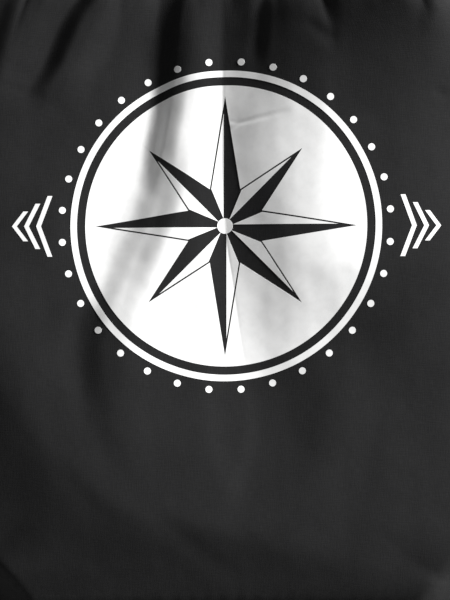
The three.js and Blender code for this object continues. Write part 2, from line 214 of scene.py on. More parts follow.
FOLDS = (
    Fold(
        path=((0.281, -0.136), (0.34, -0.121), (NECK_V, -0.06)),
        section=((-0.018, 0.0), (0.0, -0.004), (0.012, 0.001), (0.02, 0.0)),
        strength=((0.275, 0.0), (0.305, 1.0)),
    ),
    Fold(
        path=((0.286, -0.109), (0.3076, -0.0985), (0.329, -0.089), (0.34, -0.082), (NECK_V, -0.043)),
        section=((-0.02, 0.0), (-0.002, -0.003), (0.0, -0.0032), (0.013, 0.0038), (0.018, 0.004),
                 (0.036, 0.0)),
        strength=((0.28, 0.0), (0.302, 1.0)),
    ),
    Fold(
        path=LEFT_FOLD_PATH,
        section=((-0.06, 0.0), (-0.02, -0.0009), (-0.006, -0.0021), (-0.001, -0.0018), (0.005, 0.0003),
                 (0.0105, 0.0052), (0.019, 0.009), (0.03, 0.01)),
        strength=((0.225, 0.0), (0.27, 1.0)),
    ),
    Fold(
        path=LEFT_FOLD_PATH,
        section=((-0.04, 0.0), (-0.006, -0.0018), (0.0, -0.001), (0.014, 0.0054), (0.028, 0.0106),
                 (0.045, 0.011)),
        strength=((0.08, 0.0), (0.12, 0.12), (0.15, 0.4), (0.19, 0.9), (0.21, 1.0), (0.225, 1.0),
                  (0.27, 0.0)),
    ),
    Fold(
        path=((0.085, -0.0615), (0.113, -0.0715), (0.125, -0.0745), (0.151, -0.0795), (0.17, -0.076),
              (0.2, -0.064)),
        section=((-0.012, 0.0), (-0.002, -0.0006), (0.0, -0.0004), (0.014, 0.0033), (0.02, 0.0036),
                 (0.055, 0.0)),
        strength=((0.07, 0.0), (0.09, 0.35), (0.122, 0.6), (0.145, 0.85), (0.165, 0.85), (0.2, 0.0)),
    ),
    Fold(
        path=((0.057, 0.009), (0.102, -0.008), (0.16, -0.011), (0.214, -0.0125), (0.26, -0.0135),
              (0.34, -0.009), (NECK_V, -0.004)),
        section=((-0.034, 0.0), (-0.004, 0.0014), (0.012, 0.0)),
        strength=((0.05, 0.0), (0.1, 1.0), (0.2, 0.6), (0.34, 0.3)),
    ),
    Fold(
        path=MIDDLE_FOLD_PATH,
        section=((-0.016, 0.0), (-0.001, -0.0012), (0.0, -0.0012), (0.0016, -0.0006), (0.04, 0.0152),
                 (0.058, 0.0182), (0.09, 0.0184), (0.14, 0.0175)),
        strength=((0.04, 0.0), (0.11, 0.15), (0.15, 0.36), (0.18, 0.65), (0.2, 0.85), (0.25, 1.0),
                  (0.32, 1.0), (0.35, 0.7), (NECK_V, 0.0)),
    ),
    Fold(
        path=((0.054, 0.0097), (0.113, 0.0232)),
        section=((-0.014, 0.0), (-0.002, -0.0014), (0.0, -0.0014), (0.034, 0.002), (0.062, 0.0)),
        strength=((0.05, 0.0), (0.072, 0.8), (0.1, 1.0), (0.125, 0.6), (0.16, 0.0)),
    ),
    Fold(
        path=((0.3, 0.017), (0.34, 0.02), (NECK_V, 0.01)),
        section=((-0.007, 0.0), (0.0, -0.0013), (0.006, 0.0)),
        strength=((0.295, 0.0), (0.318, 1.0)),
    ),
    Fold(
        path=((0.31, 0.103), (0.34, 0.107), (NECK_V, 0.046)),
        section=((-0.03, 0.0), (-0.012, -0.0006), (-0.004, -0.001), (0.006, 0.003), (0.02, 0.0)),
        strength=((0.315, 0.0), (0.336, 1.0)),
    ),
)


@dataclass(frozen=True)
class Swell:
    """A broad soft rise of the front round a point (x, v)."""

    middle: tuple[float, float]
    reach: tuple[float, float]
    rise: float

    def height(self, x: Array, v: Array) -> Array:
        """The swell's own height at x and v."""
        away = ((x - self.middle[0]) / self.reach[0]) ** 2 + ((v - self.middle[1]) / self.reach[1]) ** 2
        return self.rise * np.exp(-away) * (1 - smooth(SWELL_END_V, NECK_V, v))


SWELLS = (
    Swell((0.13, 0.372), (0.064, 0.066), 0.026),
    Swell((0.1, 0.349), (0.042, 0.02), 0.0145),
    Swell((0.12, 0.328), (0.06, 0.034), 0.006),
    Swell((-0.09, 0.1), (0.1, 0.075), 0.013),
    Swell((0.034, 0.336), (0.012, 0.008), 0.0022),
    Swell((-0.078, 0.353), (0.07, 0.032), 0.0085),
)

CREASES = (
    Crease((-0.003, 0.271), (0.036, 0.28), -0.0006, 0.0012),
    Crease((-0.125, 0.296), (-0.098, 0.288), -0.0006, 0.0014),
    Crease((0.11, 0.291), (0.122, 0.286), -0.0009, 0.0022),
    Crease((0.042, 0.328), (0.06, 0.315), -0.0011, 0.0034),
    Crease((-0.094, 0.092), (-0.058, 0.05), -0.0006, 0.006),
    Crease((-0.055, 0.079), (0.012, 0.014), -0.0008, 0.0065),
)


@dataclass(frozen=True)
class Ripple:
    """Smooth random unevenness, made of plane waves.

    Attributes:
        seed: Seed of the waves' lengths, directions and phases.
        shortest: Shortest wave.
        longest: Longest wave.
        rise: Usual height.
        waves: How many waves are added up.
    """

    seed: int
    shortest: float
    longest: float
    rise: float
    waves: int = 30

    def height(self, x: Array, v: Array) -> Array:
        """The unevenness at x and v.

        Args:
            x: Places across, from the middle.
            v: Places along, from the bottom seam.

        Returns:
            The height at each place.
        """
        draw = np.random.default_rng(self.seed)
        total = np.zeros(np.broadcast(x, v).shape)
        for _ in range(self.waves):
            number = 2 * math.pi / draw.uniform(self.shortest, self.longest)
            turn, phase = draw.uniform(0, 2 * math.pi, 2)
            total += np.sin(number * (x * math.cos(turn) + v * math.sin(turn)) + phase)
        return self.rise * total / math.sqrt(self.waves)


RIPPLES = (
    Ripple(SEED, 0.028, 0.07, 0.00032),
    Ripple(SEED + 1, 0.009, 0.022, 0.00006),
)


@dataclass(frozen=True)
class BagForm:
    """The closed bag's shape, which both cloths and all that is sewn to them follow.

    A pair named sides or bottom is the power and the root that across uses there.

    Attributes:
        ear_seam_z: Height of the seam in the flat corner ears.
        ear_flat: Reach of the flat ear from a bottom corner.
        ear_blend: Reach at which the bag is full again.
        ear_power: 2 makes the ear's edge round, and 1 straight across the corner.
        ear_ease: Below 1, the bag fills out sooner beyond the ear.
        wrinkle_rise: Height of the wrinkles that run from an ear.
        seam_pull: How far the bottom seam is drawn in between the ears.
        pull_reach: Length over which the seam's pull fades.
        pucker_rise: Usual height of the small waves at the seams.
        pucker_drift: How much that height changes along the seams.
        front_end: Length over which the front rounds off to the bottom seam.
        back_end: The same for the back.
        relief_end: Length over which the folds fade out above the bottom seam.
        front_sides: Rounding of the front towards the side seams.
        front_bottom: Rounding of the front towards the bottom seam.
        relief_sides: Fading of the folds towards the side seams.
        back_sides: Rounding of the back towards the side seams.
        back_bottom: Rounding of the back towards the bottom seam.
        back_pleat_sides: Fading of the back's pleats towards the side seams.
        back_fullness: Above 1, the back lies flat on the floor over a broader stretch.
        back_neck_lift: How far the back rises to the neck.
        back_pleat_share: Height of the back's pleats against the front's.
        pleat_depth: Height of the main pleats at the neck.
        neck_offset: How far the neck stands to the right of the bag's middle.
        slack_slope: Slope of the slack cloth beyond the filling.
        slack_reach: Length over which it falls.
        slack_edge: Radius of its upper edge.
        slack_corner: Radius where its two lines meet.
        groove: Depth of the sewn line under the casing.
    """

    ear_seam_z: float = 0.00235
    ear_flat: float = 0.04
    ear_blend: float = 0.07
    ear_power: float = 1.3
    ear_ease: float = 0.75
    wrinkle_rise: float = 0.0011
    seam_pull: float = 0.006
    pull_reach: float = 0.07
    pucker_rise: float = 0.00046
    pucker_drift: float = 0.0002
    front_end: float = 0.018
    back_end: float = 0.06
    relief_end: float = 0.0288
    front_sides: tuple[float, float] = (10, 2.1)
    front_bottom: tuple[float, float] = (2, 2.6)
    relief_sides: tuple[float, float] = (6, 1.2)
    back_sides: tuple[float, float] = (3.4, 2)
    back_bottom: tuple[float, float] = (2, 2.4)
    back_pleat_sides: tuple[float, float] = (4, 1.2)
    back_fullness: float = 1.16
    back_neck_lift: float = 0.0044
    back_pleat_share: float = 0.55
    pleat_depth: float = 0.0046
    neck_offset: float = -0.005
    slack_slope: float = 0.24
    slack_reach: float = 0.05
    slack_edge: float = 0.003
    slack_corner: float = 0.008
    groove: float = 0.0009

    def middle_x(self, v: Array) -> Array:
        """Side to side drift of the bag's middle, which carries the neck a little to the left."""
        return self.neck_offset * smooth(0.25, NECK_V, v)

    def x(self, u: Array, v: Array) -> Array:
        """The x of a place on either cloth."""
        return self.middle_x(v) + u * through(HALF_WIDTH_KNOTS, v)

    def u_at(self, x: Array, v: Array) -> Array:
        """The u of a place on either cloth."""
        return (x - self.middle_x(v)) / through(HALF_WIDTH_KNOTS, v)

    def y(self, u: Array, v: Array) -> Array:
        """The y of a place on either cloth, with the scalloped top edge.

        Args:
            u: Places across, from -1 at the left seam to 1 at the right one.
            v: Places along, from the bottom seam.

        Returns:
            The y of each place.
        """
        pull = self.seam_pull * (1 - np.abs(u) ** 3) * (1 - smooth(0.0, self.pull_reach, v))
        casing_share = np.clip((v - NECK_V) / (CLOSED_LENGTH - NECK_V), 0, 1)
        scallop = SCALLOP * casing_share * (np.cos(u * PLEATS * math.pi) - 1)
        return v - CLOSED_LENGTH / 2 + pull + scallop

    def ear(self, x: Array, v: Array) -> Array:
        """1 on the flat ear round a bottom corner, and 0 where the bag is full.

        Args:
            x: Places across, from the middle.
            v: Places along, from the bottom seam.

        Returns:
            The share, from 0 to 1.
        """
        across_x, along_v = np.maximum(CORNER_X - np.abs(x), 0), np.maximum(v, 0)
        away = (across_x**self.ear_power + along_v**self.ear_power) ** (1 / self.ear_power)
        share = np.clip((away - self.ear_flat) / (self.ear_blend - self.ear_flat), 0, 1)
        return 1 - smooth(0.0, 1.0, share**self.ear_ease)

    def ear_wrinkles(self, x: Array, v: Array) -> Array:
        """Small pulled wrinkles that run from an ear into the full bag.

        Args:
            x: Places across, from the middle.
            v: Places along, from the bottom seam.

        Returns:
            Their height at each place.
        """
        across_x = CORNER_X - np.abs(x)
        away = np.hypot(across_x, v)
        angle = np.arctan2(v, np.maximum(across_x, 1e-6))
        turn = np.where(x < 0, 0.4, 1.9)
        wave = 2 * np.abs(np.cos(5.2 * angle + turn + 0.6 * np.sin(3 * angle))) ** 0.8 - 1
        window = smooth(0.05, 0.4, angle) * (1 - smooth(1.2, 1.5, angle))
        reach = smooth(0.03, 0.046, away) * (1 - smooth(0.05, 0.096, away))
        return self.wrinkle_rise * wave * window * reach

    def seam(self, x: Array, v: Array) -> Array:
        """Height of the surface where the two cloths part."""
        full = through(SEAM_HEIGHT_KNOTS, v)
        return full + (self.ear_seam_z - full) * self.ear(x, v)

    def pucker(self, u: Array, v: Array) -> Array:
        """The small waves that the sewn seam pulls into both cloths, along their edge.

        Args:
            u: Places across, from -1 at the left seam to 1 at the right one.
            v: Places along, from the bottom seam.

        Returns:
            Their height at each place.
        """
        x = self.x(u, v)
        side = (1 - np.abs(u)) * through(HALF_WIDTH_KNOTS, v)
        wander = 1.3 * np.sin(61 * v + 2 * x) + 0.7 * np.sin(143 * v + 1)
        along_side = np.sin(2 * math.pi * v / 0.0093 + wander) * np.exp(-side / 0.006)
        wander = 1.3 * np.sin(57 * x) + 0.7 * np.sin(131 * x + 2)
        along_bottom = np.sin(2 * math.pi * x / 0.0097 + wander) * np.exp(-v / 0.0042)
        rise = self.pucker_rise + self.pucker_drift * np.sin(37 * x + 2) * np.sin(29 * v + 1)
        return rise * (along_side + along_bottom) * (1 - self.ear(x, v)) * (1 - smooth(0.35, 0.37, v))

    def opening(self, u: Array, v: Array) -> Array:
        """How far the cloths stand apart at the seam itself: little at the edge, more inside it."""
        inwards = np.minimum((1 - np.abs(u)) * CORNER_X, v)
        return SEAM_HALF + 0.0005 * smooth(0.0, 0.005, inwards)

    def main_pleats(self, u: Array, v: Array) -> Array:
        """The pleats of the gathered neck: round crests and narrow valleys, with finer ones among them.

        Args:
            u: Places across, from -1 at the left seam to 1 at the right one.
            v: Places along, from the bottom seam.

        Returns:
            Their height at each place.
        """
        uneven = u + 0.028 * np.sin(6.3 * u + 0.7) + 0.012 * np.sin(17 * u)
        fan = 1 - 0.35 * np.cos(2.6 * u + 0.4)
        start = 0.318 + 0.008 * np.sin(11 * u + 1) + 0.006 * np.sin(23 * u + 2)
        grow = smooth(start, NECK_V - 0.008, v)
        wave = 2 * np.abs(np.cos(uneven * PLEATS * math.pi / 2)) ** 0.85 - 1
        fine = np.cos(uneven * 33 * math.pi + 1.2 * np.sin(9 * u)) * 0.16
        fine += np.sin(uneven * 51 * math.pi + 2) * 0.07
        return self.pleat_depth * fan * grow * (wave + fine * grow) * (1 - u**8)

    def slack(self, x: Array, v: Array) -> Array:
        """The drop of the slack cloth beyond two lines, low on the left.

        Args:
            x: Places across, from the middle.
            v: Places along, from the bottom seam.

        Returns:
            The drop at each place.
        """
        beyond = []
        for (xa, va), (xb, vb) in SLACK_LINES:
            beyond.append(((x - xa) * (vb - va) - (v - va) * (xb - xa)) / math.hypot(xb - xa, vb - va))
        first, second = (line / self.slack_corner for line in beyond)
        outside = np.logaddexp(first, second) * self.slack_corner
        soft = self.slack_edge * np.logaddexp(0.0, outside / self.slack_edge)
        return self.slack_slope * self.slack_reach * np.tanh(soft / self.slack_reach)

    def sewn_line(self, v: Array) -> Array:
        """The groove that the stitches pull in under the casing."""
        return self.groove * np.exp(-(((v - NECK_V) / 0.0013) ** 2))

    def front_z(self, u: Array, v: Array) -> Array:
        """Height of the front's outer face.

        Args:
            u: Places across, from -1 at the left seam to 1 at the right one.
            v: Places along, from the bottom seam.

        Returns:
            The height of each place.
        """
        x = self.x(u, v)
        full_ear = 1 - self.ear(x, v)
        end = across(1 - np.clip(v / self.front_end, 0, 1), *self.front_bottom)
        rise = through(FRONT_RISE_KNOTS, v) - self.slack(x, v)
        full = rise * across(u, *self.front_sides) * end * full_ear
        edge = across(u, *self.relief_sides) * smooth(0.0, self.relief_end, v)
        relief = sum(shape.height(x, v) for shape in (*FOLDS, *CREASES, *SWELLS, *RIPPLES))
        shaped = full + (relief + self.main_pleats(u, v)) * edge * full_ear
        small = self.ear_wrinkles(x, v) * edge + self.pucker(u, v) - self.sewn_line(v)
        return self.seam(x, v) + self.opening(u, v) + np.maximum(shaped, 0) + small

    def back_z(self, u: Array, v: Array) -> Array:
        """Height of the back's outer face, which lies on the floor.

        Args:
            u: Places across, from -1 at the left seam to 1 at the right one.
            v: Places along, from the bottom seam.

        Returns:
            The height of each place.
        """
        x = self.x(u, v)
        seam = self.seam(x, v) - self.opening(u, v)
        end = across(1 - np.clip(v / self.back_end, 0, 1), *self.back_bottom)
        full = np.clip(across(u, *self.back_sides) * end * self.back_fullness, 0, 1)
        down = seam * full * (1 - self.ear(x, v))
        lift = self.back_neck_lift * smooth(SHOULDER_V, NECK_V, v)
        pleats = self.back_pleat_share * self.main_pleats(-u, v)
        small = -0.6 * self.ear_wrinkles(x, v) + self.pucker(u, v) + self.sewn_line(v)
        return np.maximum(seam - down + (lift + pleats) * across(u, *self.back_pleat_sides) + small, 0.0)

    def on_front(self, x: Array, v: Array, proud: float) -> Array:
        """Points at x and v on the front, lifted by proud."""
        u = self.u_at(x, v)
        return np.stack([x, self.y(u, v), self.front_z(u, v) + proud], -1)


def grid_quads(rows: int, columns: int, ring: bool = False, loop: bool = False) -> Array:
    """Quads of a grid whose columns run to the right and rows upwards, facing the viewer.

    Args:
        rows: Number of rows of points.
        columns: Number of columns of points.
        ring: Whether the last column joins the first.
        loop: Whether the last row joins the first.

    Returns:
        The corners of each quad.
    """
    index = np.arange(rows * columns).reshape(rows, columns)
    if ring:
        index = np.hstack([index, index[:, :1]])
    if loop:
        index = np.vstack([index, index[:1]])
    corners = (index[:-1, :-1], index[:-1, 1:], index[1:, 1:], index[1:, :-1])
    return np.stack(corners, -1).reshape(-1, 4)


def crowded(count: int, share: float) -> Array:
    """Values from -1 to 1 that stand closer together near both ends."""
    t = np.linspace(-1, 1, count)
    return (1 - share) * t + share * np.sin(t * math.pi / 2)


def unit(vectors: Array) -> Array:
    """The vectors at length 1."""
    return vectors / np.maximum(np.linalg.norm(vectors, axis=-1, keepdims=True), 1e-12)


@dataclass
class Surface:
    """A mesh in the making: its points, faces, cloth map and how worn each point is, with crests painted
    lighter.

    Attributes:
        points: Points, one a row.
        faces: Corners of each face.
        cloth: Place of each point on the flat cloth, in metres.
        wear: How worn each point is, from 0 to 1; on the sheets it also makes the crests lighter as painted
            light.
    """

    points: Array
    faces: list[list[int]]
    cloth: Array | None = None
    wear: Array | None = None

    def piece(self, name: str, material: bpy.types.Material) -> bpy.types.Object:
        """Makes the smooth-shaded object.

        Args:
            name: The piece's name.
            material: Its finish.

        Returns:
            The new object, linked to the scene.
        """
        mesh = bpy.data.meshes.new(name)
        mesh.from_pydata(self.points.tolist(), [], self.faces)
        mesh.polygons.foreach_set("use_smooth", np.ones(len(mesh.polygons), bool))
        corners = np.empty(len(mesh.loops), np.int32)
        mesh.loops.foreach_get("vertex_index", corners)
        if self.cloth is not None:
            layer = mesh.uv_layers.new(name="Cloth")
            layer.uv.foreach_set("vector", self.cloth[corners].astype(np.float32).ravel())
        if self.wear is not None:
            worn = mesh.attributes.new("wear", "FLOAT", "POINT")
            worn.data.foreach_set("value", self.wear.astype(np.float32))
        mesh.materials.append(material)
        obj = bpy.data.objects.new(name, mesh)
        bpy.context.scene.collection.objects.link(obj)
        return obj


def joined(parts: Sequence[Surface]) -> Surface:
    """One surface out of several, which stay loose from each other.

    Args:
        parts: The surfaces.

    Returns:
        The one surface.
    """
    faces, start = [], 0
    for part in parts:
        faces += [[corner + start for corner in face] for face in part.faces]
        start += len(part.points)
    cloth = None
    if all(part.cloth is not None for part in parts):
        cloth = np.concatenate([part.cloth for part in parts])
    return Surface(np.concatenate([part.points for part in parts]), faces, cloth)


def bake_modifier(obj: bpy.types.Object, modifier: bpy.types.Modifier) -> None:
    """Puts the evaluated mesh in place of the object's own and takes the modifier away.

    Args:
        obj: The object.
        modifier: Its modifier.
    """
    graph = bpy.context.evaluated_depsgraph_get()
    mesh = bpy.data.meshes.new_from_object(obj.evaluated_get(graph))
    mesh.name = obj.name
    obj.modifiers.remove(modifier)
    old = obj.data
    obj.data = mesh
    bpy.data.meshes.remove(old)


def thicken(obj: bpy.types.Object, thickness: float) -> None:
    """Gives a sheet its thickness, behind its outer face, with crisp cut edges.

    Args:
        obj: The sheet, as one layer of faces.
        thickness: The finished sheet's thickness.
    """
    solidify = obj.modifiers.new("thickness", "SOLIDIFY")
    solidify.thickness = thickness
    solidify.offset = -1
    solidify.use_even_offset = False
    bake_modifier(obj, solidify)
    obj.data.set_sharp_from_angle(angle=CUT_ANGLE)


class Graph:
    """Short calls for building a node tree."""

    def __init__(self, tree: bpy.types.NodeTree) -> None:
        """Starts on a tree."""
        self.tree = tree

    def feed(self, socket: bpy.types.NodeSocket, value: object) -> None:
        """Links another socket to this one, or sets its value.

        Args:
            socket: The input.
            value: A socket to link, or a plain value.
        """
        if isinstance(value, bpy.types.NodeSocket):
            self.tree.links.new(value, socket)
        else:
            socket.default_value = value

    def add(self, kind: str, inputs: dict | None = None, **settings: object) -> bpy.types.Node:
        """Adds a node.

        Args:
            kind: The node's type.
            inputs: Values or sockets for its inputs, by name or number.
            settings: The node's own settings.

        Returns:
            The new node.
        """
        node = self.tree.nodes.new(kind)
        for name, value in settings.items():
            setattr(node, name, value)
        for name, value in (inputs or {}).items():
            self.feed(node.inputs[name], value)
        return node

    def math(self, operation: str, *values: object, clamp: bool = False) -> bpy.types.NodeSocket:
        """A sum on numbers."""
        node = self.add("ShaderNodeMath", dict(enumerate(values)), operation=operation, use_clamp=clamp)
        return node.outputs[0]

    def vector(self, operation: str, *values: object) -> bpy.types.NodeSocket:
        """A sum on vectors."""
        node = self.add("ShaderNodeVectorMath", dict(enumerate(values)), operation=operation)
        return node.outputs["Value" if operation in ("LENGTH", "DOT_PRODUCT") else "Vector"]

    def noise(self, vector: object, scale: float, detail: float = 2.0) -> bpy.types.NodeSocket:
        """Noise from 0 to 1."""
        inputs = {"Vector": vector, "Scale": scale, "Detail": detail}
        return self.add("ShaderNodeTexNoise", inputs).outputs["Fac"]

    def scaled(self, vector: object, scale: object) -> bpy.types.NodeSocket:
        """A vector made longer or shorter."""
        node = self.add("ShaderNodeVectorMath", {0: vector, "Scale": scale}, operation="SCALE")
        return node.outputs["Vector"]

    def bump(self, shader: bpy.types.Node, height: object, depth: float, strength: float) -> None:
        """Gives a shader a relief of the given depth."""
        node = self.add("ShaderNodeBump", {"Height": height, "Distance": depth, "Strength": strength})
        self.feed(shader.inputs["Normal"], node.outputs["Normal"])

    def remap(self, value: object, low: float, high: float, new_low: float, new_high: float) -> object:
        """Maps a range onto another, held at both ends."""
        inputs = {"Value": value, "From Min": low, "From Max": high, "To Min": new_low, "To Max": new_high}
        return self.add("ShaderNodeMapRange", inputs).outputs["Result"]

    def blend(self, share: object, first: object, second: object) -> bpy.types.NodeSocket:
        """A colour between two others."""
        node = self.add("ShaderNodeMix", {0: share, 6: first, 7: second}, data_type="RGBA")
        return node.outputs[2]


def new_group(
    name: str, kind: str, inputs: dict[str, tuple[str, object]], outputs: dict[str, str]
) -> tuple[Graph, bpy.types.Node, bpy.types.Node]:
    """Starts a node group with named sockets.

    Args:
        name: The group's name.
        kind: ShaderNodeTree or GeometryNodeTree.
        inputs: Each input's socket kind and usual value.
        outputs: Each output's socket kind.

    Returns:
        The group's graph, its input node and its output node.
    """
    tree = bpy.data.node_groups.new(name, kind)
    for label, (socket, value) in inputs.items():
        made = tree.interface.new_socket(name=label, in_out="INPUT", socket_type=f"NodeSocket{socket}")
        if value is not None:
            made.default_value = value
    for label, socket in outputs.items():
        tree.interface.new_socket(name=label, in_out="OUTPUT", socket_type=f"NodeSocket{socket}")
    graph = Graph(tree)
    return graph, graph.add("NodeGroupInput"), graph.add("NodeGroupOutput")


class Effects:
    """The shader effects that several finishes share."""

    def __init__(self) -> None:
        """Builds the groups."""
        self.weave = self.build_weave()
        self.tone = self.build_tone()

    def build_weave(self) -> bpy.types.NodeTree:
        """Plain weave: yarns over and under each other, of uneven thickness, with a mask of the gaps between
        them that paints shade there.

        Returns:
            The group.
        """
        inputs = {"Vector": ("Vector", None), "Pitch": ("Float", 0.0005), "Wander": ("Float", 0.2)}
        outputs = {"Height": "Float", "Gap": "Float"}
        graph, given, out = new_group("plain_weave", "ShaderNodeTree", inputs, outputs)
        wander = graph.math("MULTIPLY", given.outputs["Wander"], given.outputs["Pitch"])
        noise = {"Vector": given.outputs["Vector"], "Scale": 420.0, "Detail": 1.0}
        drift = graph.add("ShaderNodeTexNoise", noise)
        moved = graph.scaled(graph.vector("SUBTRACT", drift.outputs["Color"], (0.5, 0.5, 0.5)), wander)
        place = graph.add("ShaderNodeSeparateXYZ", {0: graph.vector("ADD", given.outputs["Vector"], moved)})
        waves = []
        for axis in ("X", "Y"):
            turns = graph.math("DIVIDE", place.outputs[axis], given.outputs["Pitch"])
            waves.append(graph.math("SINE", graph.math("MULTIPLY", turns, math.pi)))
        warp, weft = (graph.math("ABSOLUTE", wave) for wave in waves)
        over = graph.remap(graph.math("MULTIPLY", *waves), -0.5, 0.5, 0.0, 1.0)
        under = graph.math("SUBTRACT", 1.0, over)
        raised = (graph.math("MULTIPLY", warp, over), graph.math("MULTIPLY", weft, under))
        height = graph.math("MAXIMUM", *raised)
        graph.feed(out.inputs["Height"], height)
        # Painted shade: the mask is 1 where the yarns sink low, and darkens the colour there.
        graph.feed(out.inputs["Gap"], graph.remap(height, 0.0, 0.35, 1.0, 0.0))
        return graph.tree

    def build_tone(self) -> bpy.types.NodeTree:
        """Uneven dye, thick and thin yarns, worn edges, crests lightened partly as worn spots and partly as
        painted light, and painted shade in the gaps between the yarns, as one colour.

        Returns:
            The group.
        """
        inputs = {
            "Vector": ("Vector", None),
            "Base": ("Color", (0.02, 0.02, 0.02, 1.0)),
            "Rubbed": ("Color", (0.04, 0.04, 0.04, 1.0)),
            "Wear": ("Float", 0.0),
            "Blotch": ("Float", 0.12),
            "Slub": ("Float", 0.2),
            "Gap": ("Float", 0.0),
        }
        outputs = {"Color": "Color", "Slub Height": "Float"}
        graph, given, out = new_group("cloth_tone", "ShaderNodeTree", inputs, outputs)
        place = given.outputs["Vector"]
        streaks = []
        for squash in ((1.0, 0.085, 1.0), (0.085, 1.0, 1.0)):
            thin = graph.noise(graph.vector("MULTIPLY", place, squash), 1900.0, 1.0)
            streaks.append(graph.remap(thin, 0.36, 0.68, -1.0, 1.0))
        slub = graph.math("ADD", *streaks)
        blotch = graph.math("SUBTRACT", graph.noise(place, 34.0, 3.0), 0.5)
        grain = graph.math("SUBTRACT", graph.noise(place, 900.0, 2.0), 0.5)
        tone = graph.math("MULTIPLY_ADD", slub, given.outputs["Slub"], 1.0)
        strength = graph.math("MULTIPLY", given.outputs["Blotch"], 4.0)
        tone = graph.math("MULTIPLY_ADD", blotch, strength, tone)
        tone = graph.math("MULTIPLY_ADD", grain, given.outputs["Slub"], tone)
        # Painted shade: the colour is up to 40% darker in the gaps between the yarns.
        tone = graph.math("MULTIPLY", tone, graph.remap(given.outputs["Gap"], 0.0, 1.0, 1.0, 0.6))
        dyed = graph.scaled(given.outputs["Base"], tone)
        # The worn mask also carries painted light on crests, and blends to the lighter colour.
        patchy = graph.remap(graph.noise(place, 240.0), 0.3, 0.7, 0.2, 1.0)
        rubbed = graph.math("MULTIPLY", given.outputs["Wear"], patchy)
        graph.feed(out.inputs["Color"], graph.blend(rubbed, dyed, given.outputs["Rubbed"]))
        graph.feed(out.inputs["Slub Height"], slub)
        return graph.tree


class Coordinates(Enum):
    """Where a finish reads its place."""

    CLOTH = "the map of the flat cloth"
    OBJECT = "the object's own axes"


def started(name: str) -> tuple[bpy.types.Material, Graph, bpy.types.Node]:
    """A new material with its graph and its shader.

    Args:
        name: The material's name.

    Returns:
        The material, its graph and its shader node.
    """
    material = bpy.data.materials.new(name)
    material.use_nodes = True
    return material, Graph(material.node_tree), material.node_tree.nodes["Principled BSDF"]


def woven(graph: Graph, effects: Effects, place: object, pitch: float) -> bpy.types.Node:
    """The weave at a place, with yarns that wander a little."""
    inputs = {"Vector": place, "Pitch": pitch, "Wander": 0.3}
    return graph.add("ShaderNodeGroup", inputs, node_tree=effects.weave)


def place_of(graph: Graph, coordinates: Coordinates) -> bpy.types.NodeSocket:
    """The socket that gives the place on the piece.

    Args:
        graph: The material's graph.
        coordinates: Where the finish reads its place.

    Returns:
        The socket.
    """
    if coordinates is Coordinates.CLOTH:
        return graph.add("ShaderNodeUVMap", uv_map="Cloth").outputs["UV"]
    return graph.add("ShaderNodeTexCoord").outputs["Object"]


@dataclass(frozen=True)
class ClothFinish:
    """A woven finish.

    Attributes:
        name: The material's name.
        base: Colour of the dyed yarn.
        rubbed: Colour where it is worn, which also serves as painted light on crests.
        pitch: Distance between yarns.
        relief: Depth of the weave.
        roughness: The shader's roughness.
        gloss: The shader's specular level.
        blotch: Strength of the uneven dye.
        slub: Strength of the uneven yarns.
        coordinates: Where the pattern is read.
    """

    name: str
    base: tuple[float, float, float] = (0.0162, 0.0162, 0.0166)
    rubbed: tuple[float, float, float] = (0.028, 0.028, 0.028)
    pitch: float = 0.00048
    relief: float = 0.00007
    roughness: float = 0.93
    gloss: float = 0.18
    blotch: float = 0.1
    slub: float = 0.075
    coordinates: Coordinates = Coordinates.CLOTH

    def material(self, effects: Effects) -> bpy.types.Material:
        """Builds the material from the shared effects.

        Args:
            effects: The shared shader groups.

        Returns:
            The material.
        """
        material, graph, shader = started(self.name)
        place = place_of(graph, self.coordinates)
        weave = woven(graph, effects, place, self.pitch)
        # The sheets' worn mask, which also paints light on the crests.
        wear = graph.add("ShaderNodeAttribute", attribute_name="wear").outputs["Fac"]
        inputs = {
            "Vector": place,
            "Base": (*self.base, 1.0),
            "Rubbed": (*self.rubbed, 1.0),
            "Wear": wear,
            "Blotch": self.blotch,
            "Slub": self.slub,
            "Gap": weave.outputs["Gap"],
        }
        tone = graph.add("ShaderNodeGroup", inputs, node_tree=effects.tone)
        height = graph.math("MULTIPLY_ADD", tone.outputs["Slub Height"], 0.3, weave.outputs["Height"])
        graph.feed(shader.inputs["Base Color"], tone.outputs["Color"])
        graph.bump(shader, height, self.relief, 0.8)
        shader.inputs["Roughness"].default_value = self.roughness
        shader.inputs["Specular IOR Level"].default_value = self.gloss
        return material


@dataclass(frozen=True)
class FilmFinish:
    """A smooth white transfer film that takes on the weave under it."""

    base: tuple[float, float, float] = (0.93, 0.93, 0.925)
    # shade: colour of the random mottle and of the painted shade in the weave's gaps.
    shade: tuple[float, float, float] = (0.82, 0.82, 0.815)
    roughness: float = 0.55
    pitch: float = 0.00048

    def material(self, effects: Effects) -> bpy.types.Material:
        """Builds the material from the shared effects.

        Args:
            effects: The shared shader groups.

        Returns:
            The material.
        """
        material, graph, shader = started("white_film")
        place = place_of(graph, Coordinates.CLOTH)
        weave = woven(graph, effects, place, self.pitch)
        mottle = graph.remap(graph.noise(place, 260.0, 4.0), 0.42, 0.8, 0.0, 0.5)
        # Random mottle, and painted shade in the gaps of the weave under the film, both blend to the shade
        # colour.
        gap_shade_and_mottle = graph.math("MULTIPLY_ADD", weave.outputs["Gap"], 0.16, mottle, clamp=True)
        graph.feed(shader.inputs["Base Color"], graph.blend(gap_shade_and_mottle, (*self.base, 1.0), (*self.shade, 1.0)))
        graph.bump(shader, weave.outputs["Height"], 0.00002, 0.5)
        shader.inputs["Roughness"].default_value = self.roughness
        return material


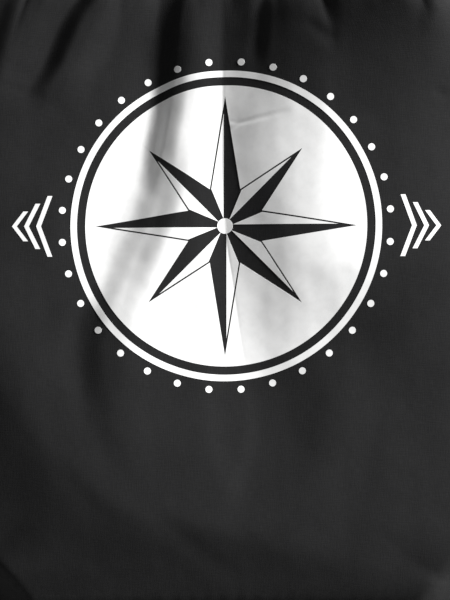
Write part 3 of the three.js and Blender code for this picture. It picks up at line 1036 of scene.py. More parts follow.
@dataclass(frozen=True)
class PatchFinish:
    """Black coated cloth with a fine pebble."""

    base: tuple[float, float, float] = (0.013, 0.013, 0.0135)
    scuffed: tuple[float, float, float] = (0.04, 0.04, 0.04)

    def material(self) -> bpy.types.Material:
        """Builds the material.

        Returns:
            The material.
        """
        material, graph, shader = started("coated_patch")
        place = place_of(graph, Coordinates.OBJECT)
        pebble = graph.add("ShaderNodeTexVoronoi", {"Vector": place, "Scale": 1500.0}).outputs["Distance"]
        scuff = graph.remap(graph.noise(place, 330.0, 5.0), 0.56, 0.75, 0.0, 0.6)
        graph.feed(shader.inputs["Base Color"], graph.blend(scuff, (*self.base, 1.0), (*self.scuffed, 1.0)))
        graph.feed(shader.inputs["Roughness"], graph.remap(scuff, 0.0, 0.6, 0.46, 0.7))
        graph.bump(shader, pebble, 0.00006, 0.7)
        return material


@dataclass(frozen=True)
class NickelFinish:
    """Pressed and tumbled nickel plate, with rings from the die round each eyelet."""

    middle: tuple[float, float]
    base: tuple[float, float, float] = (0.66, 0.65, 0.62)
    dull: tuple[float, float, float] = (0.4, 0.39, 0.37)

    def material(self) -> bpy.types.Material:
        """Builds the material.

        Returns:
            The material.
        """
        material, graph, shader = started("nickel")
        place = graph.add("ShaderNodeSeparateXYZ", {0: place_of(graph, Coordinates.OBJECT)})
        across_x = graph.math("SUBTRACT", graph.math("ABSOLUTE", place.outputs["X"]), self.middle[0])
        along_y = graph.math("SUBTRACT", place.outputs["Y"], self.middle[1])
        flat = graph.add("ShaderNodeCombineXYZ", {0: across_x, 1: along_y})
        radius = graph.vector("LENGTH", flat.outputs[0])
        ring_place = graph.add("ShaderNodeCombineXYZ", {0: radius, 1: place.outputs["Z"]})
        rings = graph.noise(ring_place.outputs[0], 5200.0, 2.0)
        marks = graph.noise(place_of(graph, Coordinates.OBJECT), 900.0, 4.0)
        dull = graph.remap(marks, 0.5, 0.78, 0.0, 0.8)
        graph.feed(shader.inputs["Base Color"], graph.blend(dull, (*self.base, 1.0), (*self.dull, 1.0)))
        worked = graph.math("ADD", rings, marks)
        graph.feed(shader.inputs["Roughness"], graph.remap(worked, 0.7, 1.3, 0.2, 0.38))
        graph.bump(shader, rings, 0.00001, 0.5)
        shader.inputs["Metallic"].default_value = 1.0
        return material


@dataclass(frozen=True)
class Finishes:
    """All the bag's materials."""

    cotton: bpy.types.Material
    seam: bpy.types.Material
    thread: bpy.types.Material
    cord: bpy.types.Material
    patch: bpy.types.Material
    nickel: bpy.types.Material
    film: bpy.types.Material


def finished_materials(eyelet_middle: tuple[float, float]) -> Finishes:
    """Builds every material once.

    Args:
        eyelet_middle: Middle of the right eyelet, for its rings.

    Returns:
        All the materials.
    """
    effects = Effects()
    yarn = {"coordinates": Coordinates.OBJECT, "blotch": 0.05}
    thread = ClothFinish(
        "sewing_thread", (0.024, 0.024, 0.025), pitch=0.0003, relief=0.00004, roughness=0.75, **yarn
    )
    cord = ClothFinish(
        "braided_cord", (0.017, 0.017, 0.0175), pitch=0.00025, relief=0.00005, roughness=0.85, **yarn
    )
    return Finishes(
        cotton=ClothFinish("black_cotton").material(effects),
        seam=ClothFinish("seam_cotton", coordinates=Coordinates.OBJECT).material(effects),
        thread=thread.material(effects),
        cord=cord.material(effects),
        patch=PatchFinish().material(),
        nickel=NickelFinish(eyelet_middle).material(),
        film=FilmFinish().material(effects),
    )


class Side(Enum):
    """The left or right side of the bag."""

    LEFT = -1
    RIGHT = 1

    @property
    def label(self) -> str:
        """The side's word in a piece's name."""
        return self.name.lower()


class Face(Enum):
    """The printed front or the back."""

    FRONT = 1
    BACK = -1


def hand_over(obj: bpy.types.Object, slot: str, *replaced: str) -> None:
    """Makes a finished piece ride on the body, and hides the nodes that it replaces.

    Args:
        obj: The piece.
        slot: Its material slot; not used.
        replaced: The nodes that it takes the place of.
    """
    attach(obj, BODY)
    if replaced:
        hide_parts(*replaced)
    obj.data.calc_loop_triangles()
    log.info("%s: %d triangles", obj.name, len(obj.data.loop_triangles))


@dataclass
class Cloth:
    """One of the two sheets, from the bottom seam over the casing's top edge and down inside it as a hem.

    Attributes:
        form: The bag's shape.
        face: Which sheet it is.
        eyelets: The eyelets' middles, where the cloth is pierced.
        hole: Radius of the hole in the cloth.
        columns: Points across.
        rows: Evenly spaced rows up to the top edge.
    """

    form: BagForm
    face: Face
    eyelets: Sequence[tuple[float, float]]
    hole: float = 0.005
    columns: int = 219
    rows: int = 186

    def outer_z(self, u: Array, v: Array) -> Array:
        """Height of the sheet's outer face."""
        return self.form.front_z(u, v) if self.face is Face.FRONT else self.form.back_z(u, v)

    def outer_rows(self) -> Array:
        """The v of each row, closer together at the bottom and at the sewn line.

        Returns:
            The v of each row.
        """
        even = np.linspace(0, 1, self.rows) ** 0.9 * CLOSED_LENGTH
        even = even[np.abs(even - NECK_V) > 0.0035]
        sewn = NECK_V + np.array([-0.0028, -0.0018, -0.001, -0.0004, 0.0, 0.0004, 0.001, 0.0018, 0.0028])
        return np.sort(np.concatenate([even, sewn]))

    def hem(self, u: Array) -> tuple[Array, Array]:
        """The hem's points and their way along the cloth, from the top edge down inside.

        Args:
            u: The u of each column.

        Returns:
            The points and their places on the flat cloth.
        """
        side = self.face.value
        middle = NECK_MIDDLE_Z + side * 0.0005
        down = np.concatenate([np.zeros(4), np.linspace(0.0012, HEM_LENGTH, 7)])[:, None]
        turn = np.concatenate([np.linspace(0.2, 1.0, 4), np.ones(7)])[:, None] * math.pi
        v = np.broadcast_to(CLOSED_LENGTH - down, (len(down), len(u)))
        u = np.broadcast_to(u, v.shape)
        outer = self.outer_z(u, v)
        inner = middle + 0.4 * (outer - middle)
        z = (outer + inner) / 2 + (outer - inner) / 2 * np.cos(turn)
        y = self.form.y(u, v) + 0.0007 * np.sin(turn)
        points = np.stack([self.form.x(u, v), y, z], -1)
        cloth = np.stack([u * FLAT_WIDTH / 2, CLOSED_LENGTH + 0.002 * turn / math.pi + down + 0 * u], -1)
        return points, cloth

    def wear(self, points: Array, u: Array) -> Array:
        """Crests made lighter, partly as worn spots and partly as painted light on them, with worn seams and
        top edge.

        Args:
            points: Rows of points on the sheet.
            u: The u of each point.

        Returns:
            The wear of each point, from 0 to 1.
        """
        z = points[..., 2]
        crest = np.zeros_like(z)
        crest[3:-3, 3:-3] = z[3:-3, 3:-3] - (z[6:, 3:-3] + z[:-6, 3:-3] + z[3:-3, 6:] + z[3:-3, :-6]) / 4
        # Painted light: the more a point stands above its neighbours, the lighter its colour, partly
        # standing for rubbing.
        rubbed = np.clip(crest * self.face.value / 0.0016, 0, 1) * 0.5
        edge = np.exp(-(1 - np.abs(u)) * CORNER_X / 0.0018) * 0.5
        return np.clip(rubbed + edge, 0, 1)

    def build(self, material: bpy.types.Material) -> bpy.types.Object:
        """Builds the sheet with its hem, holes and thickness.

        Args:
            material: The cotton.

        Returns:
            The sheet.
        """
        columns = crowded(self.columns, 0.35)
        u, v = np.meshgrid(columns, self.outer_rows())
        outer = np.stack([self.form.x(u, v), self.form.y(u, v), self.outer_z(u, v)], -1)
        cloth = np.stack([u * FLAT_WIDTH / 2, v], -1)
        hem_points, hem_cloth = self.hem(columns)
        points = np.concatenate([outer, hem_points])
        cloth = np.concatenate([cloth, hem_cloth])
        rows = len(points)
        wear = self.wear(points, np.broadcast_to(columns, (rows, len(columns))))
        quads = grid_quads(rows, len(columns))
        flat = points.reshape(-1, 3)
        for x, y in self.eyelets:
            inside = np.hypot(flat[:, 0] - x, flat[:, 1] - y) < self.hole
            quads = quads[~inside[quads].any(axis=1)]
        if self.face is Face.BACK:
            quads = quads[:, ::-1]
        used = np.unique(quads)
        place = np.zeros(len(flat), int)
        place[used] = np.arange(len(used))
        surface = Surface(flat[used], place[quads].tolist(), cloth.reshape(-1, 2)[used], wear.ravel()[used])
        name = self.face.name.lower()
        obj = surface.piece(f"{name}_cloth", material)
        thicken(obj, CLOTH)
        hand_over(obj, "cotton", f"{name}_panel", f"casing_{name}")
        return obj


@dataclass
class SideSeam:
    """The turned seam that joins the two sheets, down one side, along the bottom and up the other.

    Attributes:
        form: The bag's shape.
        radius: Half the seam's thickness.
        step: Distance between its rings of points.
        sides: Points round it.
    """

    form: BagForm
    radius: float = 0.0011
    step: float = 0.0016
    sides: int = 10

    def path(self) -> Array:
        """Points along the seam, from the neck's left round to its right.

        Returns:
            The points.
        """
        count = int(NECK_V / self.step)
        v = np.linspace(NECK_V, 0.0, count)
        u = np.linspace(-1, 1, int(2 * CORNER_X / self.step))[1:-1]
        u = np.concatenate([-np.ones(count), u, np.ones(count)])
        v = np.concatenate([v, np.zeros(len(u) - 2 * count), v[::-1]])
        z = (self.form.front_z(u, v) + self.form.back_z(u, v)) / 2
        return np.stack([self.form.x(u, v), self.form.y(u, v), z], -1)

    def build(self, material: bpy.types.Material) -> bpy.types.Object:
        """Builds the seam as a closed soft roll with a dip at each stitch.

        Args:
            material: The seam's finish.

        Returns:
            The seam.
        """
        path = self.path()
        along = unit(np.gradient(path, axis=0))
        outwards = unit(np.cross(along, (0.0, 0.0, 1.0)))
        upwards = np.cross(outwards, along)
        length = np.concatenate([[0], np.cumsum(np.linalg.norm(np.diff(path, axis=0), axis=1))])
        stitch = length / STITCH_PITCH * 2 * math.pi + 1.5 * np.sin(length / 0.02)
        radius = self.radius * (1 + 0.12 * np.sin(stitch))
        angle = np.linspace(0, 2 * math.pi, self.sides, endpoint=False)
        ring = outwards[:, None] * np.cos(angle)[:, None] + upwards[:, None] * np.sin(angle)[:, None]
        points = (path[:, None] + radius[:, None, None] * ring).reshape(-1, 3)
        faces = grid_quads(len(path), self.sides, ring=True).tolist()
        last = (len(path) - 1) * self.sides
        faces.append(list(range(self.sides))[::-1])
        faces.append([last + side for side in range(self.sides)])
        wear = np.full(len(points), 0.35)
        obj = Surface(points, faces, None, wear).piece("side_seam", material)
        hand_over(obj, "cotton")
        return obj


def tube(graph: Graph, line: bpy.types.Node, radius: object, sides: int) -> bpy.types.Node:
    """A closed tube of the given radius along a curve.

    Args:
        graph: The tree's graph.
        line: The node that makes the curve.
        radius: A value or a socket.
        sides: Points round the tube.

    Returns:
        The node that makes the tube.
    """
    section = graph.add("GeometryNodeCurvePrimitiveCircle", {"Resolution": sides, "Radius": radius})
    inputs = {0: line.outputs[0], 1: section.outputs[0], "Fill Caps": True}
    return graph.add("GeometryNodeCurveToMesh", inputs)


def dressed_tree(
    graph: Graph, given: bpy.types.Node, out: bpy.types.Node, shape: bpy.types.Node
) -> bpy.types.NodeTree:
    """Ends a geometry tree: real meshes, smooth shading and the material.

    Args:
        graph: The tree's graph.
        given: Its input node, with a Material socket.
        out: Its output node.
        shape: The node whose geometry is handed on.

    Returns:
        The finished tree.
    """
    real = graph.add("GeometryNodeRealizeInstances", {0: shape.outputs[0]})
    shaded = graph.add("GeometryNodeSetShadeSmooth", {0: real.outputs[0]})
    inputs = {0: shaded.outputs[0], "Material": given.outputs["Material"]}
    graph.feed(out.inputs[0], graph.add("GeometryNodeSetMaterial", inputs).outputs[0])
    return graph.tree


class StitchTree:
    """Geometry nodes that sew a row of stitches along a line of points, which carry the way up as `up`."""

    def __init__(self) -> None:
        """Builds the tree."""
        inputs = {
            "Geometry": ("Geometry", None),
            "Pitch": ("Float", 0.003),
            "Stitch Length": ("Float", 0.0022),
            "Thread Radius": ("Float", 0.00025),
            "Seed": ("Int", SEED),
            "Material": ("Material", None),
        }
        graph, given, out = new_group("sewn_stitches", "GeometryNodeTree", inputs, {"Geometry": "Geometry"})
        line = graph.add("GeometryNodeMeshToCurve", {0: given.outputs["Geometry"]})
        spacing = {"Curve": line.outputs[0], "Length": given.outputs["Pitch"]}
        points = graph.add("GeometryNodeResampleCurve", spacing, mode="LENGTH")
        instances = graph.add(
            "GeometryNodeInstanceOnPoints",
            {
                "Points": points.outputs[0],
                "Instance": self.stitch(graph, given),
                "Rotation": self.rotation(graph),
                "Scale": self.size(graph, given),
            },
        )
        self.tree = dressed_tree(graph, given, out, instances)

    def stitch(self, graph: Graph, given: bpy.types.Node) -> bpy.types.NodeSocket:
        """One stitch: a bowed thread whose ends dip into the cloth.

        Args:
            graph: The tree's graph.
            given: Its input node.

        Returns:
            The stitch's geometry.
        """
        radius = given.outputs["Thread Radius"]
        half = graph.math("MULTIPLY", given.outputs["Stitch Length"], 0.5)
        ends = {}
        for label, share, lift in (
            ("Start", -1.0, -1.2), ("Start Handle", -0.6, 1.6), ("End Handle", 0.6, 1.6), ("End", 1.0, -1.2)
        ):
            x, z = graph.math("MULTIPLY", half, share), graph.math("MULTIPLY", radius, lift)
            ends[label] = graph.add("ShaderNodeCombineXYZ", {0: x, 2: z}).outputs[0]
        ends["Resolution"] = 7
        bow = graph.add("GeometryNodeCurvePrimitiveBezierSegment", ends, mode="POSITION")
        return tube(graph, bow, radius, 7).outputs[0]

    def rotation(self, graph: Graph) -> bpy.types.NodeSocket:
        """Along the line and upright on the cloth.

        Args:
            graph: The tree's graph.

        Returns:
            The rotation of each stitch.
        """
        up = graph.add("GeometryNodeInputNamedAttribute", {"Name": "up"}, data_type="FLOAT_VECTOR")
        along = graph.add("GeometryNodeInputTangent")
        axes = {0: up.outputs[0], 1: along.outputs[0]}
        turned = graph.add("FunctionNodeAxesToRotation", axes, primary_axis="Z", secondary_axis="X")
        return turned.outputs[0]

    def size(self, graph: Graph, given: bpy.types.Node) -> bpy.types.NodeSocket:
        """Slightly uneven stitch lengths.

        Args:
            graph: The tree's graph.
            given: Its input node.

        Returns:
            The scale of each stitch.
        """
        uneven = graph.add("FunctionNodeRandomValue", {"Seed": given.outputs["Seed"]}, data_type="FLOAT")
        floats = [socket for socket in uneven.inputs if socket.type == "VALUE" and socket.enabled]
        floats[0].default_value = 0.86
        floats[1].default_value = 1.06
        value = next(socket for socket in uneven.outputs if socket.enabled)
        return graph.add("ShaderNodeCombineXYZ", {0: value, 1: 1.0, 2: 1.0}).outputs[0]


class BraidTree:
    """Geometry nodes that braid strands round a line of points."""

    def __init__(self) -> None:
        """Builds the tree."""
        inputs = {
            "Geometry": ("Geometry", None),
            "Cord Radius": ("Float", 0.00225),
            "Strand Radius": ("Float", 0.00045),
            "Strands": ("Int", 16),
            "Turns": ("Float", 2.0),
            "Material": ("Material", None),
        }
        graph, given, out = new_group("braided_cord", "GeometryNodeTree", inputs, {"Geometry": "Geometry"})
        line = graph.add("GeometryNodeMeshToCurve", {0: given.outputs["Geometry"]})
        path = graph.add("GeometryNodeResampleCurve", {"Curve": line.outputs[0], "Count": 90}, mode="COUNT")
        spread = {"Geometry": path.outputs[0], "Amount": given.outputs["Strands"]}
        copies = graph.add("GeometryNodeDuplicateElements", spread, domain="SPLINE")
        offset = self.offset(graph, given, copies.outputs["Duplicate Index"])
        moved = graph.add("GeometryNodeSetPosition", {"Geometry": copies.outputs[0], "Offset": offset})
        strands = tube(graph, moved, given.outputs["Strand Radius"], 7)
        thin = graph.math("MULTIPLY_ADD", given.outputs["Strand Radius"], -1.3, given.outputs["Cord Radius"])
        core = tube(graph, path, thin, 14)
        both = graph.add("GeometryNodeJoinGeometry")
        graph.tree.links.new(strands.outputs[0], both.inputs[0])
        graph.tree.links.new(core.outputs[0], both.inputs[0])
        self.tree = dressed_tree(graph, given, out, both)

    def offset(self, graph: Graph, given: bpy.types.Node, number: object) -> bpy.types.NodeSocket:
        """Each strand's way round the line: odd ones turn left and even ones right, over and under.

        Args:
            graph: The tree's graph.
            given: Its input node.
            number: The strand's number.

        Returns:
            The way from the line to the strand.
        """
        share = graph.add("GeometryNodeSplineParameter").outputs["Factor"]
        hand = graph.math("MULTIPLY_ADD", graph.math("MODULO", number, 2.0), -2.0, 1.0)
        first = graph.math("DIVIDE", number, given.outputs["Strands"])
        turned = graph.math("MULTIPLY", share, given.outputs["Turns"])
        way = graph.math("MULTIPLY", turned, hand)
        angle = graph.math("MULTIPLY", graph.math("ADD", way, first), 2 * math.pi)
        weaving = graph.math("MULTIPLY", turned, 8 * math.pi)
        lift = graph.math("MULTIPLY", graph.math("SINE", weaving), graph.math("MULTIPLY", hand, 0.28))
        inwards = graph.math("SUBTRACT", lift, 1.0)
        sizes = (given.outputs["Strand Radius"], given.outputs["Cord Radius"])
        radius = graph.math("MULTIPLY_ADD", inwards, *sizes)
        normal = graph.add("GeometryNodeInputNormal").outputs[0]
        sideways = graph.vector("CROSS_PRODUCT", graph.add("GeometryNodeInputTangent").outputs[0], normal)
        parts = []
        for direction, turn in ((normal, "COSINE"), (sideways, "SINE")):
            parts.append(graph.scaled(direction, graph.math("MULTIPLY", graph.math(turn, angle), radius)))
        return graph.vector("ADD", *parts)


def grown(
    name: str, points: Array, tree: bpy.types.NodeTree, values: dict[str, object], up: Array | None = None
) -> bpy.types.Object:
    """Runs a geometry tree along a line of points and keeps its result as a plain mesh.

    Args:
        name: The piece's name.
        points: The line's points.
        tree: The tree to run.
        values: Values for the tree's inputs, by name.
        up: The way up at each point.

    Returns:
        The new object.
    """
    mesh = bpy.data.meshes.new(name)
    edges = [(start, start + 1) for start in range(len(points) - 1)]
    mesh.from_pydata(points.tolist(), edges, [])
    if up is not None:
        upright = mesh.attributes.new("up", "FLOAT_VECTOR", "POINT")
        upright.data.foreach_set("vector", up.astype(np.float32).ravel())
    obj = bpy.data.objects.new(name, mesh)
    bpy.context.scene.collection.objects.link(obj)
    modifier = obj.modifiers.new("grown", "NODES")
    modifier.node_group = tree
    for socket in tree.interface.items_tree:
        if socket.name in values:
            modifier[socket.identifier] = values[socket.name]
    bake_modifier(obj, modifier)
    return obj


@dataclass
class Sewing:
    """All rows of stitches.

    Attributes:
        form: The bag's shape.
        thread: The thread's finish.
        pitch: Distance between stitches.
        length: Length of a stitch.
        radius: The thread's radius.
    """

    form: BagForm
    thread: bpy.types.Material
    pitch: float = STITCH_PITCH
    length: float = 0.0023
    radius: float = 0.00024

    def __post_init__(self) -> None:
        """Builds the stitch tree once."""
        self.tree = StitchTree().tree

    def row(self, name: str, points: Array, up: Array) -> bpy.types.Object:
        """Sews one row along points on a surface that faces up.

        Args:
            name: The row's name.
            points: Points along it.
            up: The way out of the cloth at each point.

        Returns:
            The row of stitches.
        """
        values = {
            "Pitch": self.pitch,
            "Stitch Length": self.length,
            "Thread Radius": self.radius,
            "Seed": SEED,
            "Material": self.thread,
        }
        obj = grown(name, points, self.tree, values, up)
        hand_over(obj, "cord")
        return obj

    def casing_row(self, face: Face) -> bpy.types.Object:
        """Sews the row under the casing, which follows every pleat.

        Args:
            face: The sheet that it is on.

        Returns:
            The row of stitches.
        """
        u = np.linspace(-0.985, 0.985, 900)
        v = np.full_like(u, NECK_V)
        outer = self.form.front_z if face is Face.FRONT else self.form.back_z
        points = np.stack([self.form.x(u, v), self.form.y(u, v), outer(u, v)], -1)
        along = unit(np.gradient(points, axis=0))
        up = unit(np.cross(along, (0.0, -1.0, 0.0)))
        up = np.where(up[:, 2:] * face.value < 0, -up, up)
        return self.row(f"casing_stitches_{face.name.lower()}", points + up * STITCH_LIFT, up)


@dataclass
class Drawstring:
    """The braided cord where it crosses from the front casing to the back one at a side of the neck.

    Attributes:
        side: Which side of the neck.
        cord: The cord's finish.
        tree: The braid's geometry tree.
        diameter: The cord's diameter.
        strand_radius: Radius of each strand.
        strands: Number of strands.
        turns: How often each strand goes round.
    """

    side: Side
    cord: bpy.types.Material
    tree: bpy.types.NodeTree
    diameter: float = 0.0045
    strand_radius: float = 0.00052
    strands: int = 16
    turns: float = 1.6

    def path(self) -> Array:
        """The cord's middle line, inside its solid: out of one casing, round and into the other.

        Returns:
            Points along the line.
        """
        low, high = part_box(f"drawstring_{self.side.label}")
        y = (low.y + high.y) / 2
        inner, outer = (low.x, high.x) if self.side is Side.RIGHT else (high.x, low.x)
        outer -= self.side.value * self.diameter / 2
        bend = (high.z - low.z - self.diameter) / 2
        turn = np.linspace(math.pi / 2, -math.pi / 2, 24)
        straight = outer - self.side.value * bend * 1.2
        out = np.linspace(inner, straight, 8)[:-1]
        x = np.concatenate([out, straight + (outer - straight) * np.cos(turn), out[::-1]])
        level = np.full(len(out), bend)
        z = np.concatenate([level, bend * np.sin(turn), -level]) + (low.z + high.z) / 2
        return np.stack([x, np.full_like(x, y), z], -1)

    def build(self) -> bpy.types.Object:
        """Braids the cord.

        Returns:
            The cord.
        """
        node = f"drawstring_{self.side.label}"
        values = {
            "Cord Radius": self.diameter / 2,
            "Strand Radius": self.strand_radius,
            "Strands": self.strands,
            "Turns": self.turns,
            "Material": self.cord,
        }
        obj = grown(f"{node}_braid", self.path(), self.tree, values)
        hand_over(obj, "cord", node)
        return obj


def rounded(corners: Array, times: int) -> Array:
    """Cuts the corners of a closed line again and again, until it is smooth.

    Args:
        corners: Points round the line.
        times: How often.

    Returns:
        The smoother line.
    """
    for _ in range(times):
        following = np.roll(corners, -1, axis=0)
        corners = np.stack([0.75 * corners + 0.25 * following, 0.25 * corners + 0.75 * following], 1)
        corners = corners.reshape(-1, corners.shape[-1])
    return corners


def resampled(line: Array, count: int) -> Array:
    """Evenly spaced points round a closed line.

    Args:
        line: Points round the line.
        count: How many.

    Returns:
        The new points.
    """
    closed = np.concatenate([line, line[:1]])
    length = np.concatenate([[0], np.cumsum(np.linalg.norm(np.diff(closed, axis=0), axis=1))])
    at = np.linspace(0, length[-1], count, endpoint=False)
    return np.stack([np.interp(at, length, closed[:, axis]) for axis in range(closed.shape[1])], -1)


@dataclass
class CornerPatch:
    """The coated triangle sewn over a bottom corner.

    Attributes:
        side: Which corner.
        middle: Middle of the eyelet's hole.
        hole: Radius of the hole in the patch.
        inset: Distance of the stitches from the edge.
        blunt: Width of the cut at the two sharp corners.
        sewn_share: Place of the stitches from the hole (0) to the edge (1).
        dip: Depth of the sewn line.
        puff: Height of the small waves between the stitches.
        points_round: Points round the outline.
    """

    side: Side
    middle: tuple[float, float]
    hole: float = 0.0053
    inset: float = 0.0022
    blunt: float = 0.003
    sewn_share: float = 0.84
    dip: float = 0.00022
    puff: float = 0.00006
    points_round: int = 200

    def outline(self, inset: float) -> Array:
        """The triangle's outline with rounded corners.

        Args:
            inset: How far the outline is drawn in.

        Returns:
            Points round the outline, as x and y.
        """
        low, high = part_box(f"corner_patch_{self.side.label}")
        outer = high.x if self.side is Side.RIGHT else low.x
        leg = high.x - low.x - 2.4 * inset
        corner = np.array([outer - self.side.value * inset, low.y + inset])
        steps = np.array([(0, 0), (leg, 0), (leg, self.blunt), (self.blunt, leg), (0, leg)])
        corners = corner + steps * (-self.side.value, 1)
        line = resampled(rounded(resampled(corners, 60), 3), self.points_round)
        return line[::-1] if self.side is Side.RIGHT else line

    def top(self, share: Array) -> Array:
        """Height of the top face, with rolled edges and a sewn dip.

        Args:
            share: Place from the hole (0) to the edge (1).

        Returns:
            The height.
        """
        low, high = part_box(f"corner_patch_{self.side.label}")
        ends = smooth(0.93, 1.0, share) ** 2 + (1 - smooth(0.0, 0.1, share)) ** 2
        roll = (high.z - low.z) * 0.55 * ends
        dip = self.dip * np.exp(-(((share - self.sewn_share) / 0.05) ** 2))
        return high.z - 0.0002 - roll - dip

    def build(self, material: bpy.types.Material, sewing: Sewing) -> bpy.types.Object:
        """Builds the patch and sews it down.

        Args:
            material: The patch's finish.
            sewing: What makes the rows of stitches.

        Returns:
            The patch.
        """
        node = f"corner_patch_{self.side.label}"
        low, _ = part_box(node)
        outline = self.outline(0.0)
        hole = self.middle + unit(outline - self.middle) * self.hole
        spans = ((0.0, 0.12, 5), (0.2, 0.72, 6), (0.78, 1.0, 12))
        shares = np.concatenate([np.linspace(*span) for span in spans])
        count = np.arange(self.points_round)
        puffs = self.puff * np.sin(count * 0.9 + 2 * np.sin(count * 0.13))
        rings = []
        for share in shares:
            height = self.top(share) + puffs * smooth(0.3, 0.8, share) * (1 - smooth(0.95, 1.0, share))
            rings.append(np.column_stack([hole + (outline - hole) * share, height]))
        level = np.full(self.points_round, low.z - 0.0003)
        rings += [np.column_stack([ring[:, :2], level]) for ring in (rings[-1], rings[0])]
        quads = grid_quads(len(rings), self.points_round, ring=True, loop=True)
        obj = Surface(np.concatenate(rings), quads.tolist()).piece(f"{node}_cover", material)
        outwards(obj)
        hand_over(obj, "patch", node)
        seam = self.outline(self.inset)
        seam = np.concatenate([seam, seam[:1]])
        height = np.full(len(seam), float(self.top(np.array(self.sewn_share))) + 0.00012)
        up = np.tile((0.0, 0.0, 1.0), (len(seam), 1))
        sewing.row(f"patch_stitches_{self.side.label}", np.column_stack([seam, height]), up)
        return obj


def outwards(obj: bpy.types.Object) -> None:
    """Turns the faces of a closed mesh to the outside.

    Args:
        obj: The object whose mesh is turned.
    """
    mesh = bmesh.new()
    mesh.from_mesh(obj.data)
    bmesh.ops.recalc_face_normals(mesh, faces=mesh.faces)
    mesh.to_mesh(obj.data)
    mesh.free()


@dataclass
class Eyelet:
    """A pressed metal eyelet: a barrel between a rolled top flange and a flat ring underneath.

    Attributes:
        side: Which corner.
        middle: Middle of the hole.
        hole: Radius of the hole.
        barrel: Outer radius of the barrel.
        flange: Radius of the flanges.
        points_round: Points round the axis.
    """

    side: Side
    middle: tuple[float, float]
    hole: float = 0.0042
    barrel: float = 0.005
    flange: float = 0.0077
    points_round: int = 112

    def profile(self) -> Array:
        """The metal's section.

        Returns:
            Radius and height of each point, in order round the section.
        """
        low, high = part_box(f"eyelet_{self.side.label}")
        top, under = high.z - 0.0001, low.z + 0.0001
        crown = (self.hole + self.flange) / 2
        section = [
            (self.hole, under + 0.0002), (self.hole + 0.0004, under), (self.flange - 0.0005, under),
            (self.flange - 0.0002, under + 0.0003), (self.flange - 0.0006, under + 0.0007),
            (self.barrel + 0.0002, under + 0.0008), (self.barrel, under + 0.0012),
            (self.barrel, top - 0.0016), (self.barrel + 0.0003, top - 0.0011),
            (self.flange - 0.0006, top - 0.0012), (self.flange, top - 0.0011),
            (self.flange - 0.0001, top - 0.0006), (crown + 0.0009, top), (crown - 0.0006, top),
            (self.hole + 0.0002, top - 0.0006), (self.hole, top - 0.0013),
        ]
        return rounded(np.array(section), 2)

    def build(self, material: bpy.types.Material) -> bpy.types.Object:
        """Turns the section round the eyelet's axis.

        Args:
            material: The metal's finish.

        Returns:
            The eyelet.
        """
        profile = self.profile()
        angle = np.linspace(0, 2 * math.pi, self.points_round, endpoint=False)
        radius, z = profile[:, 0][:, None], profile[:, 1][:, None]
        x = self.middle[0] + radius * np.cos(angle)
        y = self.middle[1] + radius * np.sin(angle)
        points = np.stack([x, y, z + 0 * angle], -1).reshape(-1, 3)
        quads = grid_quads(len(profile), self.points_round, ring=True, loop=True)
        node = f"eyelet_{self.side.label}"
        obj = Surface(points, quads.tolist()).piece(f"{node}_ring", material)
        outwards(obj)
        hand_over(obj, "eyelet", node)
        return obj


